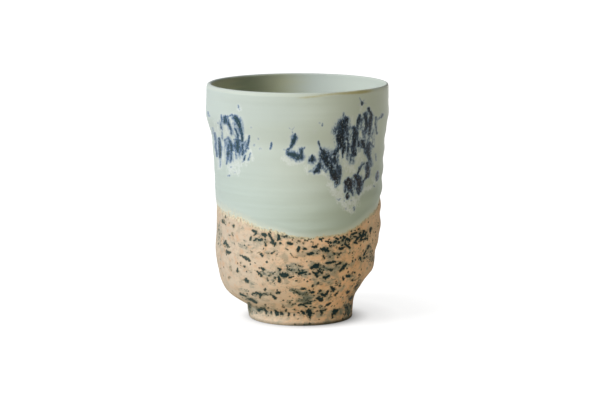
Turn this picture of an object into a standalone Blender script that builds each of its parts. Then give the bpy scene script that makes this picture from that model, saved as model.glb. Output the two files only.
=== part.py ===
"""Handleless stoneware coffee cup, as four separate solids.

A thrown clay body stands on a foot ring that is luted under its floor. A poured glaze
lines the inside and rolls over the lip, and a dipped glaze coats the upper outside down
to a line that sags at the front and the back, below which the clay is bare.

Metres, +Z up. The origin lies on the table under the middle of the cup, and the front
of the cup faces -Y.
"""

import math

import bmesh
import bpy
from mathutils import Vector

# Overall size and the foot
CUP_HEIGHT = 0.100  # table to the top of the glazed lip
FOOT_HEIGHT = 0.0057
FOOT_RADIUS = 0.0224  # outside of the ring, at its top
FOOT_TAPER = 0.0002  # how much narrower the ring is at the table
FOOT_WIDTH = 0.0048  # radial thickness of the ring at the table
FOOT_EDGE = 0.0006  # rounding of the ring's edges
FOOT_SWAY = 0.0010  # the foot's middle lies this far towards +X

# Outside of the clay, from the seat on the foot up to the lip. A RISE is measured up
# from the seat, a DROP down from the clay lip. A SWAY moves that level's circle along X,
# because the wall was pressed in by hand on the +X side.
SEAT_LEDGE = 0.0005  # the seat reaches this far beyond the foot ring, on average
SEAT_SWAY = 0.0005
HIP_RISE = 0.0050
HIP_RADIUS = 0.0273
HIP_SWAY = -0.0023
BEND_RISE = 0.0095
BEND_RADIUS = 0.0302
BEND_SWAY = -0.0024
TURN_RISE = 0.0150
TURN_RADIUS = 0.0328
TURN_SWAY = -0.0013
BELLY_RISE = 0.0225
BELLY_RADIUS = 0.0341
BELLY_SWAY = -0.0011
FLANK_RISE = 0.0325
FLANK_RADIUS = 0.0348
FLANK_SWAY = 0.0001
WAIST_RADIUS = 0.0347  # midway between flank and neck
WAIST_SWAY = 0.0002
RIM_DROP = 0.0030
RIM_RADIUS = 0.0379
RIM_SWAY = -0.0003
BAND_DROP = 0.0113
BAND_SWELL = 0.0002  # the band's lower edge stands this far out from the rim
BAND_SWAY = -0.0004
NECK_DROP = 0.0230
NECK_TUCK = 0.0021  # the neck is drawn in this far from the rim
NECK_SWAY = 0.0001

# Throwing ridges that wind up the pressed side
RIDGE_HEIGHT = 0.00025  # crest above the mean wall
RIDGE_PITCH = 0.0080  # crest to crest, straight up
RIDGE_LEAD = 0.0240  # rise of one crest in a full turn
RIDGE_CREST = 0.0562  # level of one crest on the +X side

# Thickness of the clay, and the bowl inside
WALL_THICKNESS = 0.0030
LIP_THICKNESS = 0.0010
FLOOR_THICKNESS = 0.0045
BOWL_RISE = 0.0155  # inside floor to where the wall stands upright
BOWL_FLAT_RADIUS = 0.0120  # flat middle of the inside floor

# Glaze coats
GLAZE_THICKNESS = 0.00035
GLAZE_CLEARANCE = 0.0002  # between a coat and the clay, and between the two coats
LUTING_CLEARANCE = 0.0003  # between the foot ring and the body
DIP_LINE = 0.0451  # mean height of the lower edge of the outer coat
DIP_SADDLE = 0.0055  # how far the edge dips from that mean, front and back
DIP_TURN = math.radians(15)  # direction from +X of the saddle's nearer high side
DIP_SWAY = 0.0019  # how far the edge rises on the +X side

# Facets
SEGMENTS = 48  # round the cup
BARE_ROWS = 16  # seat to dip line
GLAZED_ROWS = 26  # dip line to the top of the outer coat
LIP_ROWS = 6  # round the lip
INSIDE_ROWS = 7  # lip to the turn of the bowl
BOWL_ROWS = 5  # turn of the bowl to its flat middle
EDGE_ROWS = 2  # round each edge of the foot ring
CROWDING = 1.4  # above 1, the rows of the bare clay crowd towards its round hip

# Colours (linear) and roughness
CLAY_COLOUR = (0.62, 0.42, 0.25, 1.0)
CLAY_ROUGHNESS = 0.85
GLAZE_COLOUR = (0.52, 0.58, 0.49, 1.0)
GLAZE_ROUGHNESS = 0.45

# Sizes that follow from those above
SEAT_HEIGHT = FOOT_HEIGHT + LUTING_CLEARANCE
SEAT_RADIUS = FOOT_RADIUS + SEAT_LEDGE
CLAY_LIP_HEIGHT = CUP_HEIGHT - GLAZE_THICKNESS - GLAZE_CLEARANCE
LIP_START_HEIGHT = CLAY_LIP_HEIGHT - LIP_THICKNESS / 2
COAT_TOP_HEIGHT = LIP_START_HEIGHT - GLAZE_CLEARANCE
INSIDE_FLOOR_HEIGHT = SEAT_HEIGHT + FLOOR_THICKNESS
BOWL_TOP_HEIGHT = INSIDE_FLOOR_HEIGHT + BOWL_RISE
FLANK_HEIGHT = SEAT_HEIGHT + FLANK_RISE
NECK_HEIGHT = CLAY_LIP_HEIGHT - NECK_DROP

# Circles that the outside of the clay passes through: height, radius, sway
STATIONS = [
    (SEAT_HEIGHT, SEAT_RADIUS, SEAT_SWAY),
    (SEAT_HEIGHT + HIP_RISE, HIP_RADIUS, HIP_SWAY),
    (SEAT_HEIGHT + BEND_RISE, BEND_RADIUS, BEND_SWAY),
    (SEAT_HEIGHT + TURN_RISE, TURN_RADIUS, TURN_SWAY),
    (SEAT_HEIGHT + BELLY_RISE, BELLY_RADIUS, BELLY_SWAY),
    (FLANK_HEIGHT, FLANK_RADIUS, FLANK_SWAY),
    ((FLANK_HEIGHT + NECK_HEIGHT) / 2, WAIST_RADIUS, WAIST_SWAY),
    (NECK_HEIGHT, RIM_RADIUS - NECK_TUCK, NECK_SWAY),
    (CLAY_LIP_HEIGHT - BAND_DROP, RIM_RADIUS + BAND_SWELL, BAND_SWAY),
    (CLAY_LIP_HEIGHT - RIM_DROP, RIM_RADIUS, RIM_SWAY),
    (CLAY_LIP_HEIGHT, RIM_RADIUS, RIM_SWAY),
]

# Rows of the clay's meridian at which the coats begin and end
DIP_ROW = BARE_ROWS
COAT_TOP_ROW = DIP_ROW + GLAZED_ROWS
LIP_START_ROW = COAT_TOP_ROW + 1


def curve_through(column, height):
    """A station column at any height, on a cubic curve that doesn't overshoot its stations."""
    heights = [station[0] for station in STATIONS]
    values = [station[column] for station in STATIONS]
    spans = [high - low for low, high in zip(heights, heights[1:])]
    slopes = [(last - first) / span for first, last, span in zip(values, values[1:], spans)]

    def slope_at(i):
        if i in (0, len(slopes)):
            return slopes[min(i, len(slopes) - 1)]
        before, after = slopes[i - 1], slopes[i]
        return 2 * before * after / (before + after) if before * after > 0 else 0.0

    height = min(max(height, heights[0]), heights[-1])
    i = max(k for k in range(len(spans)) if heights[k] <= height)
    t = (height - heights[i]) / spans[i]
    climb = (values[i + 1] - values[i]) * t * t * (3 - 2 * t)
    leaving = slope_at(i) * spans[i] * t * (1 - t) ** 2
    arriving = slope_at(i + 1) * spans[i] * t * t * (t - 1)
    return values[i] + climb + leaving + arriving


def ridge(angle, height):
    """Height of the winding throwing ridges, which fade out at the seat, the lip and the -X side."""
    pressed_side = ((1 + math.cos(angle)) / 2) ** 2
    up = (height - SEAT_HEIGHT) / (CLAY_LIP_HEIGHT - SEAT_HEIGHT)
    fade = math.sin(math.pi * min(max(up, 0.0), 1.0))
    crest = RIDGE_CREST + RIDGE_LEAD * math.remainder(angle, math.tau) / math.tau
    return RIDGE_HEIGHT * pressed_side * fade * math.cos(math.tau * (height - crest) / RIDGE_PITCH)


def outside_radius(angle, height):
    """Distance of the clay's outside from the axis, in one direction at one level."""
    sway = curve_through(2, height) * math.cos(angle)
    return curve_through(1, height) + sway + ridge(angle, height)


def inside_radius(angle, height):
    """Distance of the clay's inside from the axis. The wall thins from the neck up to the lip."""
    down = min(max((CLAY_LIP_HEIGHT - height) / NECK_DROP, 0.0), 1.0)
    return outside_radius(angle, height) - LIP_THICKNESS - (WALL_THICKNESS - LIP_THICKNESS) * down


def dip_line(angle):
    """Height of the outer coat's lower edge: a saddle, low at front and back, that rises to +X."""
    return DIP_LINE + DIP_SADDLE * math.cos(2 * (angle - DIP_TURN)) + DIP_SWAY * math.cos(angle)


def steps(start, end, rows, crowding=1.0):
    """Values from start to end in so many rows, without the start itself."""
    return [start + (end - start) * ((row + 1) / rows) ** crowding for row in range(rows)]


def clay_meridian(angle):
    """Points (radius, height) of the clay's skin in one direction: seat, wall, lip, inside wall, bowl."""
    dip = dip_line(angle)
    levels = [SEAT_HEIGHT]
    levels += steps(SEAT_HEIGHT, dip, BARE_ROWS, CROWDING)
    levels += steps(dip, COAT_TOP_HEIGHT, GLAZED_ROWS)
    levels.append(LIP_START_HEIGHT)
    points = [(outside_radius(angle, level), level) for level in levels]

    bend = LIP_THICKNESS / 2
    middle = outside_radius(angle, LIP_START_HEIGHT) - bend
    for turn in steps(0, math.pi, LIP_ROWS):
        points.append((middle + bend * math.cos(turn), LIP_START_HEIGHT + bend * math.sin(turn)))

    for level in steps(LIP_START_HEIGHT, BOWL_TOP_HEIGHT, INSIDE_ROWS):
        points.append((inside_radius(angle, level), level))

    reach = inside_radius(angle, BOWL_TOP_HEIGHT) - BOWL_FLAT_RADIUS
    for turn in steps(0, math.pi / 2, BOWL_ROWS):
        level = BOWL_TOP_HEIGHT - BOWL_RISE * math.sin(turn)
        radius = BOWL_FLAT_RADIUS + reach * math.cos(turn)
        points.append((min(radius, inside_radius(angle, level)), level))
    return points


def add_rings(mesh, rings):
    """Lays the rings of points down as vertices and skins each pair of neighbours with quads."""
    laid = [[mesh.verts.new(position) for position in ring] for ring in rings]
    for low, high in zip(laid, laid[1:]):
        for i in range(SEGMENTS):
            j = (i + 1) % SEGMENTS
            mesh.faces.new((low[i], low[j], high[j], high[i]))
    return laid


def close_ring(mesh, ring):
    """Closes a ring of vertices with a fan of triangles."""
    bmesh.ops.poke(mesh, faces=[mesh.faces.new(ring)])


def clay_mesh():
    """The body's skin as one closed mesh, and its rings from the seat to the bowl's flat middle."""
    angles = [math.tau * i / SEGMENTS for i in range(SEGMENTS)]
    meridians = [clay_meridian(angle) for angle in angles]
    rings = []
    for row in zip(*meridians):
        rings.append(
            [Vector((r * math.cos(a), r * math.sin(a), z)) for a, (r, z) in zip(angles, row)]
        )
    mesh = bmesh.new()
    laid = add_rings(mesh, rings)
    close_ring(mesh, laid[0][::-1])
    close_ring(mesh, laid[-1])
    mesh.normal_update()
    return mesh, laid


def coat_mesh(laid, closed):
    """A sheet that follows part of the body's skin at the glaze clearance."""
    rings = [[vert.co + vert.normal * GLAZE_CLEARANCE for vert in ring] for ring in laid]
    mesh = bmesh.new()
    sheet = add_rings(mesh, rings)
    if closed:
        close_ring(mesh, sheet[-1])
    return mesh


def foot_mesh():
    """The foot ring's four-cornered section, spun once round its own axis."""
    table_radius = FOOT_RADIUS - FOOT_TAPER
    hole_radius = table_radius - FOOT_WIDTH
    section = [
        (hole_radius, 0.0),
        (table_radius, 0.0),
        (FOOT_RADIUS, FOOT_HEIGHT),
        (hole_radius, FOOT_HEIGHT),
    ]
    mesh = bmesh.new()
    corners = [mesh.verts.new((radius, 0.0, height)) for radius, height in section]
    edges = [mesh.edges.new((a, b)) for a, b in zip(corners, corners[1:] + corners[:1])]
    bmesh.ops.spin(
        mesh, geom=corners + edges, cent=(0, 0, 0), axis=(0, 0, 1), angle=math.tau, steps=SEGMENTS
    )
    bmesh.ops.remove_doubles(mesh, verts=mesh.verts, dist=1e-6)
    bmesh.ops.recalc_face_normals(mesh, faces=mesh.faces)
    return mesh


def material(name, colour, roughness):
    made = bpy.data.materials.new(name)
    made.use_nodes = True
    shader = made.node_tree.nodes["Principled BSDF"]
    shader.inputs["Base Color"].default_value = colour
    shader.inputs["Roughness"].default_value = roughness
    shader.inputs["Metallic"].default_value = 0.0
    return made


def add_piece(name, mesh, finish, cup):
    """A named object of the cup, smooth shaded apart from its real edges."""
    data = bpy.data.meshes.new(name)
    mesh.to_mesh(data)
    mesh.free()
    data.shade_smooth()
    data.set_sharp_from_angle(angle=math.radians(40))
    data.materials.append(finish)
    piece = bpy.data.objects.new(name, data)
    bpy.context.scene.collection.objects.link(piece)
    piece.parent = cup
    return piece


def thicken(piece):
    """Gives a coat its thickness, on the side away from the clay."""
    solidify = piece.modifiers.new("coat_thickness", "SOLIDIFY")
    solidify.thickness = GLAZE_THICKNESS
    solidify.offset = 1.0
    solidify.use_even_offset = True


def round_edges(piece):
    """Rounds the edges of a piece that turn by more than the facets do."""
    bevel = piece.modifiers.new("rounded_edges", "BEVEL")
    bevel.width = FOOT_EDGE
    bevel.segments = EDGE_ROWS
    bevel.limit_method = "ANGLE"
    bevel.angle_limit = math.radians(40)


def build():
    for old in list(bpy.data.objects):
        bpy.data.objects.remove(old, do_unlink=True)
    cup = bpy.data.objects.new("cup", None)
    bpy.context.scene.collection.objects.link(cup)

    mesh, laid = clay_mesh()
    outer = coat_mesh(laid[DIP_ROW : COAT_TOP_ROW + 1], closed=False)
    liner = coat_mesh(laid[LIP_START_ROW:], closed=True)

    add_piece("clay_body", mesh, material("bare_clay", CLAY_COLOUR, CLAY_ROUGHNESS), cup)
    foot = add_piece("foot_ring", foot_mesh(), material("foot_clay", CLAY_COLOUR, CLAY_ROUGHNESS), cup)
    foot.location.x = FOOT_SWAY
    round_edges(foot)
    thicken(add_piece("outer_glaze", outer, material("dipped_glaze", GLAZE_COLOUR, GLAZE_ROUGHNESS), cup))
    thicken(add_piece("liner_glaze", liner, material("poured_glaze", GLAZE_COLOUR, GLAZE_ROUGHNESS), cup))


build()
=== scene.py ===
import math

import bpy
import numpy as np
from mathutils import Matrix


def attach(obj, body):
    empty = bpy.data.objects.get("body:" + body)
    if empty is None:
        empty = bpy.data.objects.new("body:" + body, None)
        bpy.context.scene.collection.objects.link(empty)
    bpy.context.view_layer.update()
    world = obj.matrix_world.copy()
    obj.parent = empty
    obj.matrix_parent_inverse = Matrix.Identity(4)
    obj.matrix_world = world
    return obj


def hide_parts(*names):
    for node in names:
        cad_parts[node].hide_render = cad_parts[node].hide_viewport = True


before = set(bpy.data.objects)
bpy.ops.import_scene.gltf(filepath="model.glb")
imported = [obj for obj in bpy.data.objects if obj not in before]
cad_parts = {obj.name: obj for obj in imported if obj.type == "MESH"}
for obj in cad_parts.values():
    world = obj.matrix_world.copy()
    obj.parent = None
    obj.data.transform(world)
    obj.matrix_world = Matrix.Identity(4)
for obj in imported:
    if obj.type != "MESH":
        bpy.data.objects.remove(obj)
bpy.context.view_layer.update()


# ------------------------------------------------------------------------------ clay wall
# The pot itself: one lump of buff stoneware clay with dark iron grit, thrown on a wheel
# and pressed in by hand on its right side. Below the glaze it is fired bare, so that the
# turning marks, the grit and the smears that grit leaves under the tool all show.

MM = 0.001
SEAT = 6.0 * MM  # underside of the floor, on the foot
LIP_BEND = 99.25 * MM  # where the half-round lip starts
CLAY_TOP = 99.45 * MM
LIP_THICKNESS = 0.7 * MM  # clay at the lip, drawn thin
WALL_THICKNESS = 3.0 * MM
NECK_DROP = 23.0 * MM  # how far below the top the wall starts to thin
BOWL_TOP = 26.0 * MM
BOWL_FLOOR = 10.5 * MM
BOWL_FLAT = 12.0 * MM  # radius of the flat middle of the bowl
RIDGE = 0.25 * MM  # height of the ridges on the pressed side
RIDGE_PITCH = 8.0 * MM
RIDGE_CLIMB = 24.0 * MM  # in a full turn
RIDGE_CREST = 56.2 * MM  # height of one crest at +X
KNUCKLE = 0.5 * MM  # how far the pressing thumbs pushed the hip out
THIN_EDGE = 0.7  # least width of the glaze's thin edge, in millimetres
BACK_RADIUS = 36.0  # of the wall behind, in millimetres, to measure along it
LENS_PLACE = (0.76 * MM, -1000.0 * MM, 211.5 * MM)
LENS_TILT = math.radians(9.18)
SEEN_MIDDLE = (0.13, 54.8)  # what the lens points at, in millimetres across and up
SEEN_SPREAD = (1010.6, 1046.0)  # millimetres across and up for a slope of 1 from the lens

# Circles that the outside passes through: height, radius, shift towards +X
WALL_CIRCLES = np.array([
    (6.000, 22.9, 0.5),  # seat on the foot
    (11.000, 27.3, -2.3),  # hip
    (15.500, 30.2, -2.4),  # bend
    (21.000, 32.8, -1.3),  # turn of the belly
    (28.500, 34.1, -1.1),  # belly
    (38.500, 34.8, 0.1),  # flank
    (57.475, 34.7, 0.2),  # waist
    (76.450, 35.8, 0.1),  # neck
    (88.150, 38.1, -0.4),  # lower edge of the rim band
    (96.450, 37.9, -0.3),  # rim
    (99.450, 37.9, -0.3),  # lip
]) * MM
# Rings of the throwing fingers: depth and pitch in millimetres, way of winding, start
FINGER_RINGS = ((0.012, 2.3, 1, 0.4), (0.016, 3.7, -1, 2.1), (0.03, 8.1, 1, 4.0))
# Knuckles of the hip: direction and half width in degrees, height and half height in millimetres
KNUCKLES = ((0, 28, 21.3, 2.5), (180, 32, 12.6, 2.2))
# Sags of the glaze line: depth in millimetres, direction and half width in degrees
SAGS = ((1.05, -53, 15), (0.5, -91, 9), (1.0, -152, 13))

# Chips of grit on the side that faces the lens. Each line is how dark it is, then its
# points as seen from there: millimetres across and up, and half the line's width
CHIPS = [
    # left flank, sparse
    (0.7, (-32.5, 46, 0.4), (-32.2, 45, 0.4)), (0.6, (-31.5, 48, 0.25), (-31.4, 47, 0.25)),
    (0.5, (-29.8, 44.8, 0.3)), (0.8, (-28.1, 43.6, 0.4), (-27.9, 43, 0.35)),
    (0.45, (-28.6, 40.2, 0.4), (-28.2, 39.2, 0.35)), (0.8, (-31.4, 36.8, 0.35), (-31.9, 35.5, 0.4)),
    (0.85, (-31.2, 36, 0.3), (-30.3, 34.3, 0.35)), (1, (-30.7, 32, 0.45), (-29.9, 31.7, 0.5)),
    (0.85, (-25.3, 30.7, 0.25), (-23.5, 29.8, 0.4), (-22.2, 28.9, 0.5), (-21.2, 28.1, 0.35)),
    (0.8, (-26.3, 25, 0.2), (-26.3, 23.4, 0.42)), (0.42, (-29.3, 25.5, 0.4), (-29.2, 24, 0.4)),
    (0.55, (-24.9, 27.3, 0.38)), (0.55, (-23.6, 25.9, 0.36)), (0.4, (-29.8, 20.7, 0.5)),
    (1, (-22.8, 20, 0.45), (-22.2, 19.1, 0.5)), (0.6, (-24.3, 19.7, 0.2), (-22.8, 19.6, 0.25)),
    (0.95, (-18, 23.5, 0.25), (-17, 22.5, 0.5), (-16.2, 21.6, 0.42)),
    (0.45, (-19.3, 24, 0.15), (-18, 23.6, 0.2)), (0.95, (-16.3, 25.1, 0.3), (-15.3, 24.3, 0.48)),
    # left, under the glaze line
    (0.7, (-20.6, 38.5, 0.3), (-20.9, 37.3, 0.4)), (0.95, (-19.8, 41.5, 0.4), (-19.4, 41.2, 0.4)),
    (1, (-18.7, 41, 0.45), (-18.6, 39.9, 0.35)), (0.6, (-19.3, 39.3, 0.3)),
    (1, (-15.8, 40, 0.4), (-14.7, 39.5, 0.55)), (0.9, (-19.4, 36.9, 0.25), (-18.3, 37.8, 0.4)),
    (0.9, (-17.4, 37.2, 0.4), (-16, 37.4, 0.45)), (0.9, (-14.9, 36.3, 0.3), (-14.4, 35, 0.38)),
    (1, (-13, 39.8, 0.45), (-12.3, 38.5, 0.38), (-11.6, 37.2, 0.45), (-11.2, 36, 0.45)),
    (0.8, (-12.4, 40.4, 0.4)), (1, (-10.7, 35.6, 0.62)),
    (1, (-9.1, 39.7, 0.3), (-8.7, 38.7, 0.4), (-8.9, 37.8, 0.4), (-9.4, 37.2, 0.3)),
    (0.85, (-8.2, 35.8, 0.42)), (1, (-4.8, 35.9, 0.48), (-3.6, 35.6, 0.52)),
    (0.6, (-2.6, 38.3, 0.45)), (0.6, (-5.9, 33.5, 0.25), (-4.8, 32.8, 0.2)),
    (0.6, (-4, 31.5, 0.18), (-2.8, 29.9, 0.2), (-1, 29.4, 0.18)), (0.7, (-20.3, 32, 0.38)),
    (0.95, (-16.5, 31, 0.42), (-15.8, 30.4, 0.5)), (0.5, (-17.9, 31.5, 0.2), (-16.8, 32, 0.2)),
    (0.6, (-13.3, 31.3, 0.32)), (0.62, (-11.8, 31.2, 0.28), (-10.7, 32.3, 0.36)),
    (0.5, (-13.8, 36.4, 0.28)), (0.45, (-11.5, 28.8, 0.2), (-11.2, 28.3, 0.2)),
    # middle of the left half, with the long dark chip
    (0.9, (-9.3, 24.9, 0.25), (-8.2, 24.1, 0.45)),
    (1, (-8.3, 22.3, 0.4), (-6.5, 21.7, 0.85), (-5.1, 21.9, 0.5)),
    (1, (-9, 20.9, 0.35), (-8.6, 19.4, 0.6)), (0.8, (-4.6, 20.6, 0.3), (-2.6, 21.3, 0.25)),
    (0.8, (-10.4, 20.4, 0.45)), (0.7, (-5.4, 24.6, 0.28), (-4.4, 24.3, 0.25)),
    (0.45, (-12.4, 22, 0.45)), (0.5, (-13.7, 20.5, 0.32)), (0.4, (-13.5, 23.1, 0.3)),
    (0.95, (-14.7, 15.3, 0.42)),
    (0.95, (-19.7, 13.9, 0.25), (-18, 14.1, 0.42), (-16.9, 13.6, 0.45), (-16.4, 13, 0.4)),
    (0.7, (-15.3, 13.8, 0.3), (-14.3, 13.5, 0.36)), (0.8, (-16.8, 12, 0.36)),
    (0.85, (-12.3, 13.5, 0.42)), (0.95, (-9.6, 14, 0.45), (-8.7, 14.2, 0.45)),
    (0.95, (-11.2, 12.6, 0.4), (-10.3, 11.7, 0.45)),
    (0.8, (-25.2, 13.7, 0.42), (-24.5, 13.2, 0.3), (-23, 12.6, 0.2)), (0.6, (-22.2, 13.6, 0.3)),
    (0.95, (-21.6, 11.3, 0.25), (-20.5, 11.2, 0.5), (-19.8, 10.6, 0.35), (-18.3, 9.7, 0.3)),
    # foot, left to right
    (0.7, (-14.5, 8.7, 0.36)), (0.7, (-13.3, 7.5, 0.36)),
    (0.55, (-21.3, 8.8, 0.5), (-20.9, 6.2, 0.6)), (0.62, (-18, 6.5, 0.34), (-15.4, 7.1, 0.4)),
    (1, (-14.7, 6.8, 0.3), (-14.2, 5.7, 0.35), (-13.3, 5, 0.62), (-12.2, 5.1, 0.62)),
    (1, (-10.1, 6, 0.4), (-9.5, 5.3, 0.55), (-9, 4.9, 0.36)), (0.5, (-10.9, 6.2, 0.25)),
    (1, (-7.8, 5.3, 0.42), (-7, 4.5, 0.42), (-5.5, 4.1, 0.36)),
    (0.9, (-5.7, 6.6, 0.34), (-5.8, 6, 0.36)), (0.7, (-7.3, 7.9, 0.3), (-6.5, 7.7, 0.3)),
    (0.9, (-4.7, 4.9, 0.4), (-3.8, 4.5, 0.4)), (0.75, (-4.2, 9.9, 0.45)), (0.85, (-2.9, 9, 0.38)),
    (0.6, (-2.2, 6.7, 0.36)), (0.9, (0.8, 5.9, 0.36), (1.7, 5.3, 0.4)),
    (1, (3.7, 6.2, 0.75), (4.4, 5.2, 0.85), (4.9, 4.2, 0.55)), (0.7, (4.3, 3, 0.4)),
    (0.9, (9, 6.3, 0.34), (9.4, 5.2, 0.45)),
    (0.8, (8.8, 6.1, 0.26), (10, 6.5, 0.28), (11.4, 6.9, 0.22)),
    (0.8, (6, 7.7, 0.28), (6.7, 7.7, 0.28)), (0.85, (2.3, 8.1, 0.28), (3, 8.1, 0.3)),
    (1, (14.9, 5.9, 0.72), (15.6, 6.1, 0.66)), (0.7, (13.8, 3.6, 0.42)), (0.75, (19.8, 7.7, 0.55)),
    (0.45, (20.3, 5.4, 0.45)), (0.7, (21.6, 8.4, 0.4)),
    # front, above the foot
    (0.7, (4.1, 15.2, 0.42)), (0.8, (0.6, 15.7, 0.24), (2, 15.9, 0.32)),
    (0.65, (-3.3, 15.4, 0.24), (-2.2, 14.9, 0.28)), (0.55, (12.3, 12, 0.26), (13.3, 12.4, 0.26)),
    (0.75, (0.3, 9, 0.32), (1.9, 9, 0.34)), (0.68, (2.3, 9.3, 0.38), (3.6, 9.8, 0.42)),
    (0.65, (4.2, 10.2, 0.48), (4.4, 9.6, 0.4)), (0.55, (-1.3, 10.7, 0.28), (-0.5, 10.6, 0.28)),
    (0.55, (0.6, 10.5, 0.28), (1.4, 10.7, 0.28)), (0.55, (-1.4, 19.3, 0.38), (-0.3, 19.3, 0.38)),
    (0.62, (-1.6, 14.6, 0.4), (-1, 14.2, 0.5)), (0.6, (2.8, 13.4, 0.5)),
    # front, under the glaze line
    (1, (-0.3, 33.9, 0.45), (-0.6, 33, 0.55), (-0.8, 32.3, 0.35)), (0.8, (1.5, 35.8, 0.42)),
    (0.95, (2, 33.5, 0.38), (2.6, 33.3, 0.42)), (0.55, (1.3, 31.9, 0.38)),
    (1, (3.2, 31.1, 0.3), (4.2, 30.9, 0.45), (5.2, 31.6, 0.4)),
    (1, (5.4, 34.4, 0.3), (6.3, 34.2, 0.46), (7, 34.4, 0.42)),
    (1, (8.5, 37.6, 0.36), (9.2, 37.6, 0.38)), (0.8, (3.9, 37.7, 0.28), (4.8, 37.7, 0.28)),
    (0.85, (0.6, 38.2, 0.35), (1.7, 38.2, 0.35)), (0.9, (2.4, 37.2, 0.35), (3.2, 37, 0.3)),
    (0.8, (-0.6, 36.8, 0.32), (0.2, 36.4, 0.32)), (0.85, (8, 23.6, 0.45), (9.6, 22.8, 0.4)),
    (0.5, (7.7, 35.4, 0.3)), (0.85, (11, 36.7, 0.22), (12.3, 36.5, 0.3), (13.3, 35.9, 0.4)),
    (1, (9, 33.3, 0.36), (10.3, 33.1, 0.65), (11.4, 32.9, 0.7), (12, 32.6, 0.45)),
    (0.5, (13, 34.5, 0.4)), (0.8, (10, 30.2, 0.36), (10.4, 29.3, 0.36)), (0.8, (14.6, 31.2, 0.42)),
    (0.9, (16.4, 31, 0.45)), (0.95, (14.7, 36.4, 0.42), (15.4, 36.7, 0.5)),
    (0.9, (15.5, 37.9, 0.36), (16.1, 37.6, 0.38)), (0.95, (16.7, 36, 0.45)),
    (1, (16.9, 33.7, 0.36), (17.5, 33.3, 0.42), (18.2, 33.7, 0.42)), (0.7, (15.6, 34, 0.32)),
    (0.95, (18.5, 38.9, 0.36), (19.1, 38.4, 0.4)), (0.9, (18.3, 37.2, 0.45)),
    (1, (20, 37.7, 0.45), (21.1, 37.3, 0.5)), (0.95, (19.3, 35.3, 0.42), (20, 34.8, 0.42)),
    (0.9, (20.5, 34.5, 0.3), (21.2, 33.8, 0.36)), (0.7, (20.1, 39.7, 0.36)),
    (0.95, (22.3, 39.8, 0.42), (23.3, 40.2, 0.4)), (0.6, (23.2, 38.8, 0.45)),
    (0.9, (23.2, 36.2, 0.42), (24.3, 35.8, 0.3)), (0.9, (24, 37.2, 0.36), (24.7, 38.2, 0.36)),
    (0.85, (25, 42, 0.4)), (0.85, (22, 41.2, 0.3)), (0.9, (25.8, 37.1, 0.36), (26.6, 37.6, 0.34)),
    (1, (27.2, 41.2, 0.4), (26.8, 39.5, 0.5), (26.2, 38.2, 0.42)),
    (0.95, (27.3, 37.6, 0.3), (28.5, 37.9, 0.38)), (0.8, (28, 40.6, 0.3)),
    (0.95, (30.2, 42.4, 0.42), (29.8, 41, 0.3)), (0.5, (31.4, 40.6, 0.3)), (0.45, (33, 43.5, 0.36)),
    (0.95, (24, 40.4, 0.4)), (0.9, (25.7, 39.3, 0.42), (25.4, 40.2, 0.3)),
    (0.95, (27.7, 39.6, 0.4)), (0.85, (22.9, 38.9, 0.36), (24, 38.6, 0.3)),
    (0.85, (25, 38.4, 0.36)), (0.8, (26, 40.7, 0.32)), (0.9, (18.1, 34.9, 0.4)),
    (0.85, (19.2, 36.2, 0.36)), (0.8, (17.4, 38.3, 0.3)), (0.8, (17.6, 36.6, 0.32)),
    # right flank
    (0.45, (30.9, 36, 0.3)), (0.8, (29.2, 34.5, 0.45), (28.7, 33.3, 0.28)),
    (0.85, (27.9, 32.2, 0.34), (27.2, 30.6, 0.34)), (0.8, (25.8, 29.6, 0.48), (25.8, 28.6, 0.26)),
    (0.85, (27.3, 29.4, 0.4)), (0.5, (26.5, 27.7, 0.3)), (0.5, (28.6, 28, 0.25)),
    (0.95, (11.2, 27, 0.25), (12.5, 27.3, 0.4), (13.8, 27.6, 0.4), (15.2, 27.7, 0.25)),
    (0.9, (15.4, 26.2, 0.22), (16.3, 26.7, 0.3), (17.4, 27.3, 0.48)),
    (0.95, (19.8, 26.7, 0.3), (18.8, 25.8, 0.55), (18.3, 24.8, 0.5), (17, 23.7, 0.34)),
    (1, (4.8, 24.9, 0.45), (6, 25.4, 0.7), (7.2, 26, 0.8), (8, 26.3, 0.5)),
    (0.7, (8.3, 24.5, 0.3), (9.3, 24.3, 0.28)), (0.6, (11.8, 24.3, 0.28), (13.8, 24.3, 0.28)),
    (0.5, (10.3, 25.3, 0.45)), (1, (5.5, 23.3, 0.2), (6.8, 22.4, 0.58), (7.3, 21.2, 0.45)),
    (0.9, (7.9, 22.8, 0.36)), (0.95, (10.1, 20.9, 0.4), (11.2, 21, 0.45), (12.3, 21.6, 0.4)),
    (0.85, (-1.6, 22.9, 0.28), (-0.3, 22.6, 0.65), (1, 22.7, 0.36), (2.6, 23.1, 0.25)),
    (0.7, (0, 23.7, 0.36), (-0.2, 21.6, 0.28)), (0.6, (-0.8, 26.2, 0.22), (0.2, 25.8, 0.3)),
    (0.9, (19.8, 21.6, 0.42), (20.9, 21.5, 0.42)), (0.7, (23.2, 22.9, 0.42)),
    (0.72, (18.3, 21.2, 0.28), (18.4, 19.7, 0.28)), (0.85, (22.5, 19.6, 0.45)),
    (0.5, (23, 18, 0.3)), (0.62, (25, 18.5, 0.3), (24, 17, 0.34), (23.2, 16, 0.3)),
    (0.65, (22.2, 12.4, 0.5), (21.2, 11, 0.5)), (0.65, (15.5, 18.1, 0.38)),
    (0.85, (16.8, 17.3, 0.42)), (0.95, (5.5, 17.2, 0.42)), (0.7, (8.1, 18.6, 0.34)),
    (1, (13.2, 16.7, 0.34), (14.2, 15.9, 0.6), (14.3, 15.2, 0.45)), (0.95, (20.4, 14.5, 0.55)),
    (0.8, (16.4, 14.9, 0.2), (14.9, 13.1, 0.4)), (0.95, (5.1, 14.2, 0.42), (5.8, 14.5, 0.42)),
    (0.95, (8.6, 14.9, 0.48)),
    (1, (9.3, 13.6, 0.4), (10.6, 13, 0.6), (11.5, 13.9, 0.42), (12, 14.8, 0.3)),
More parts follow.
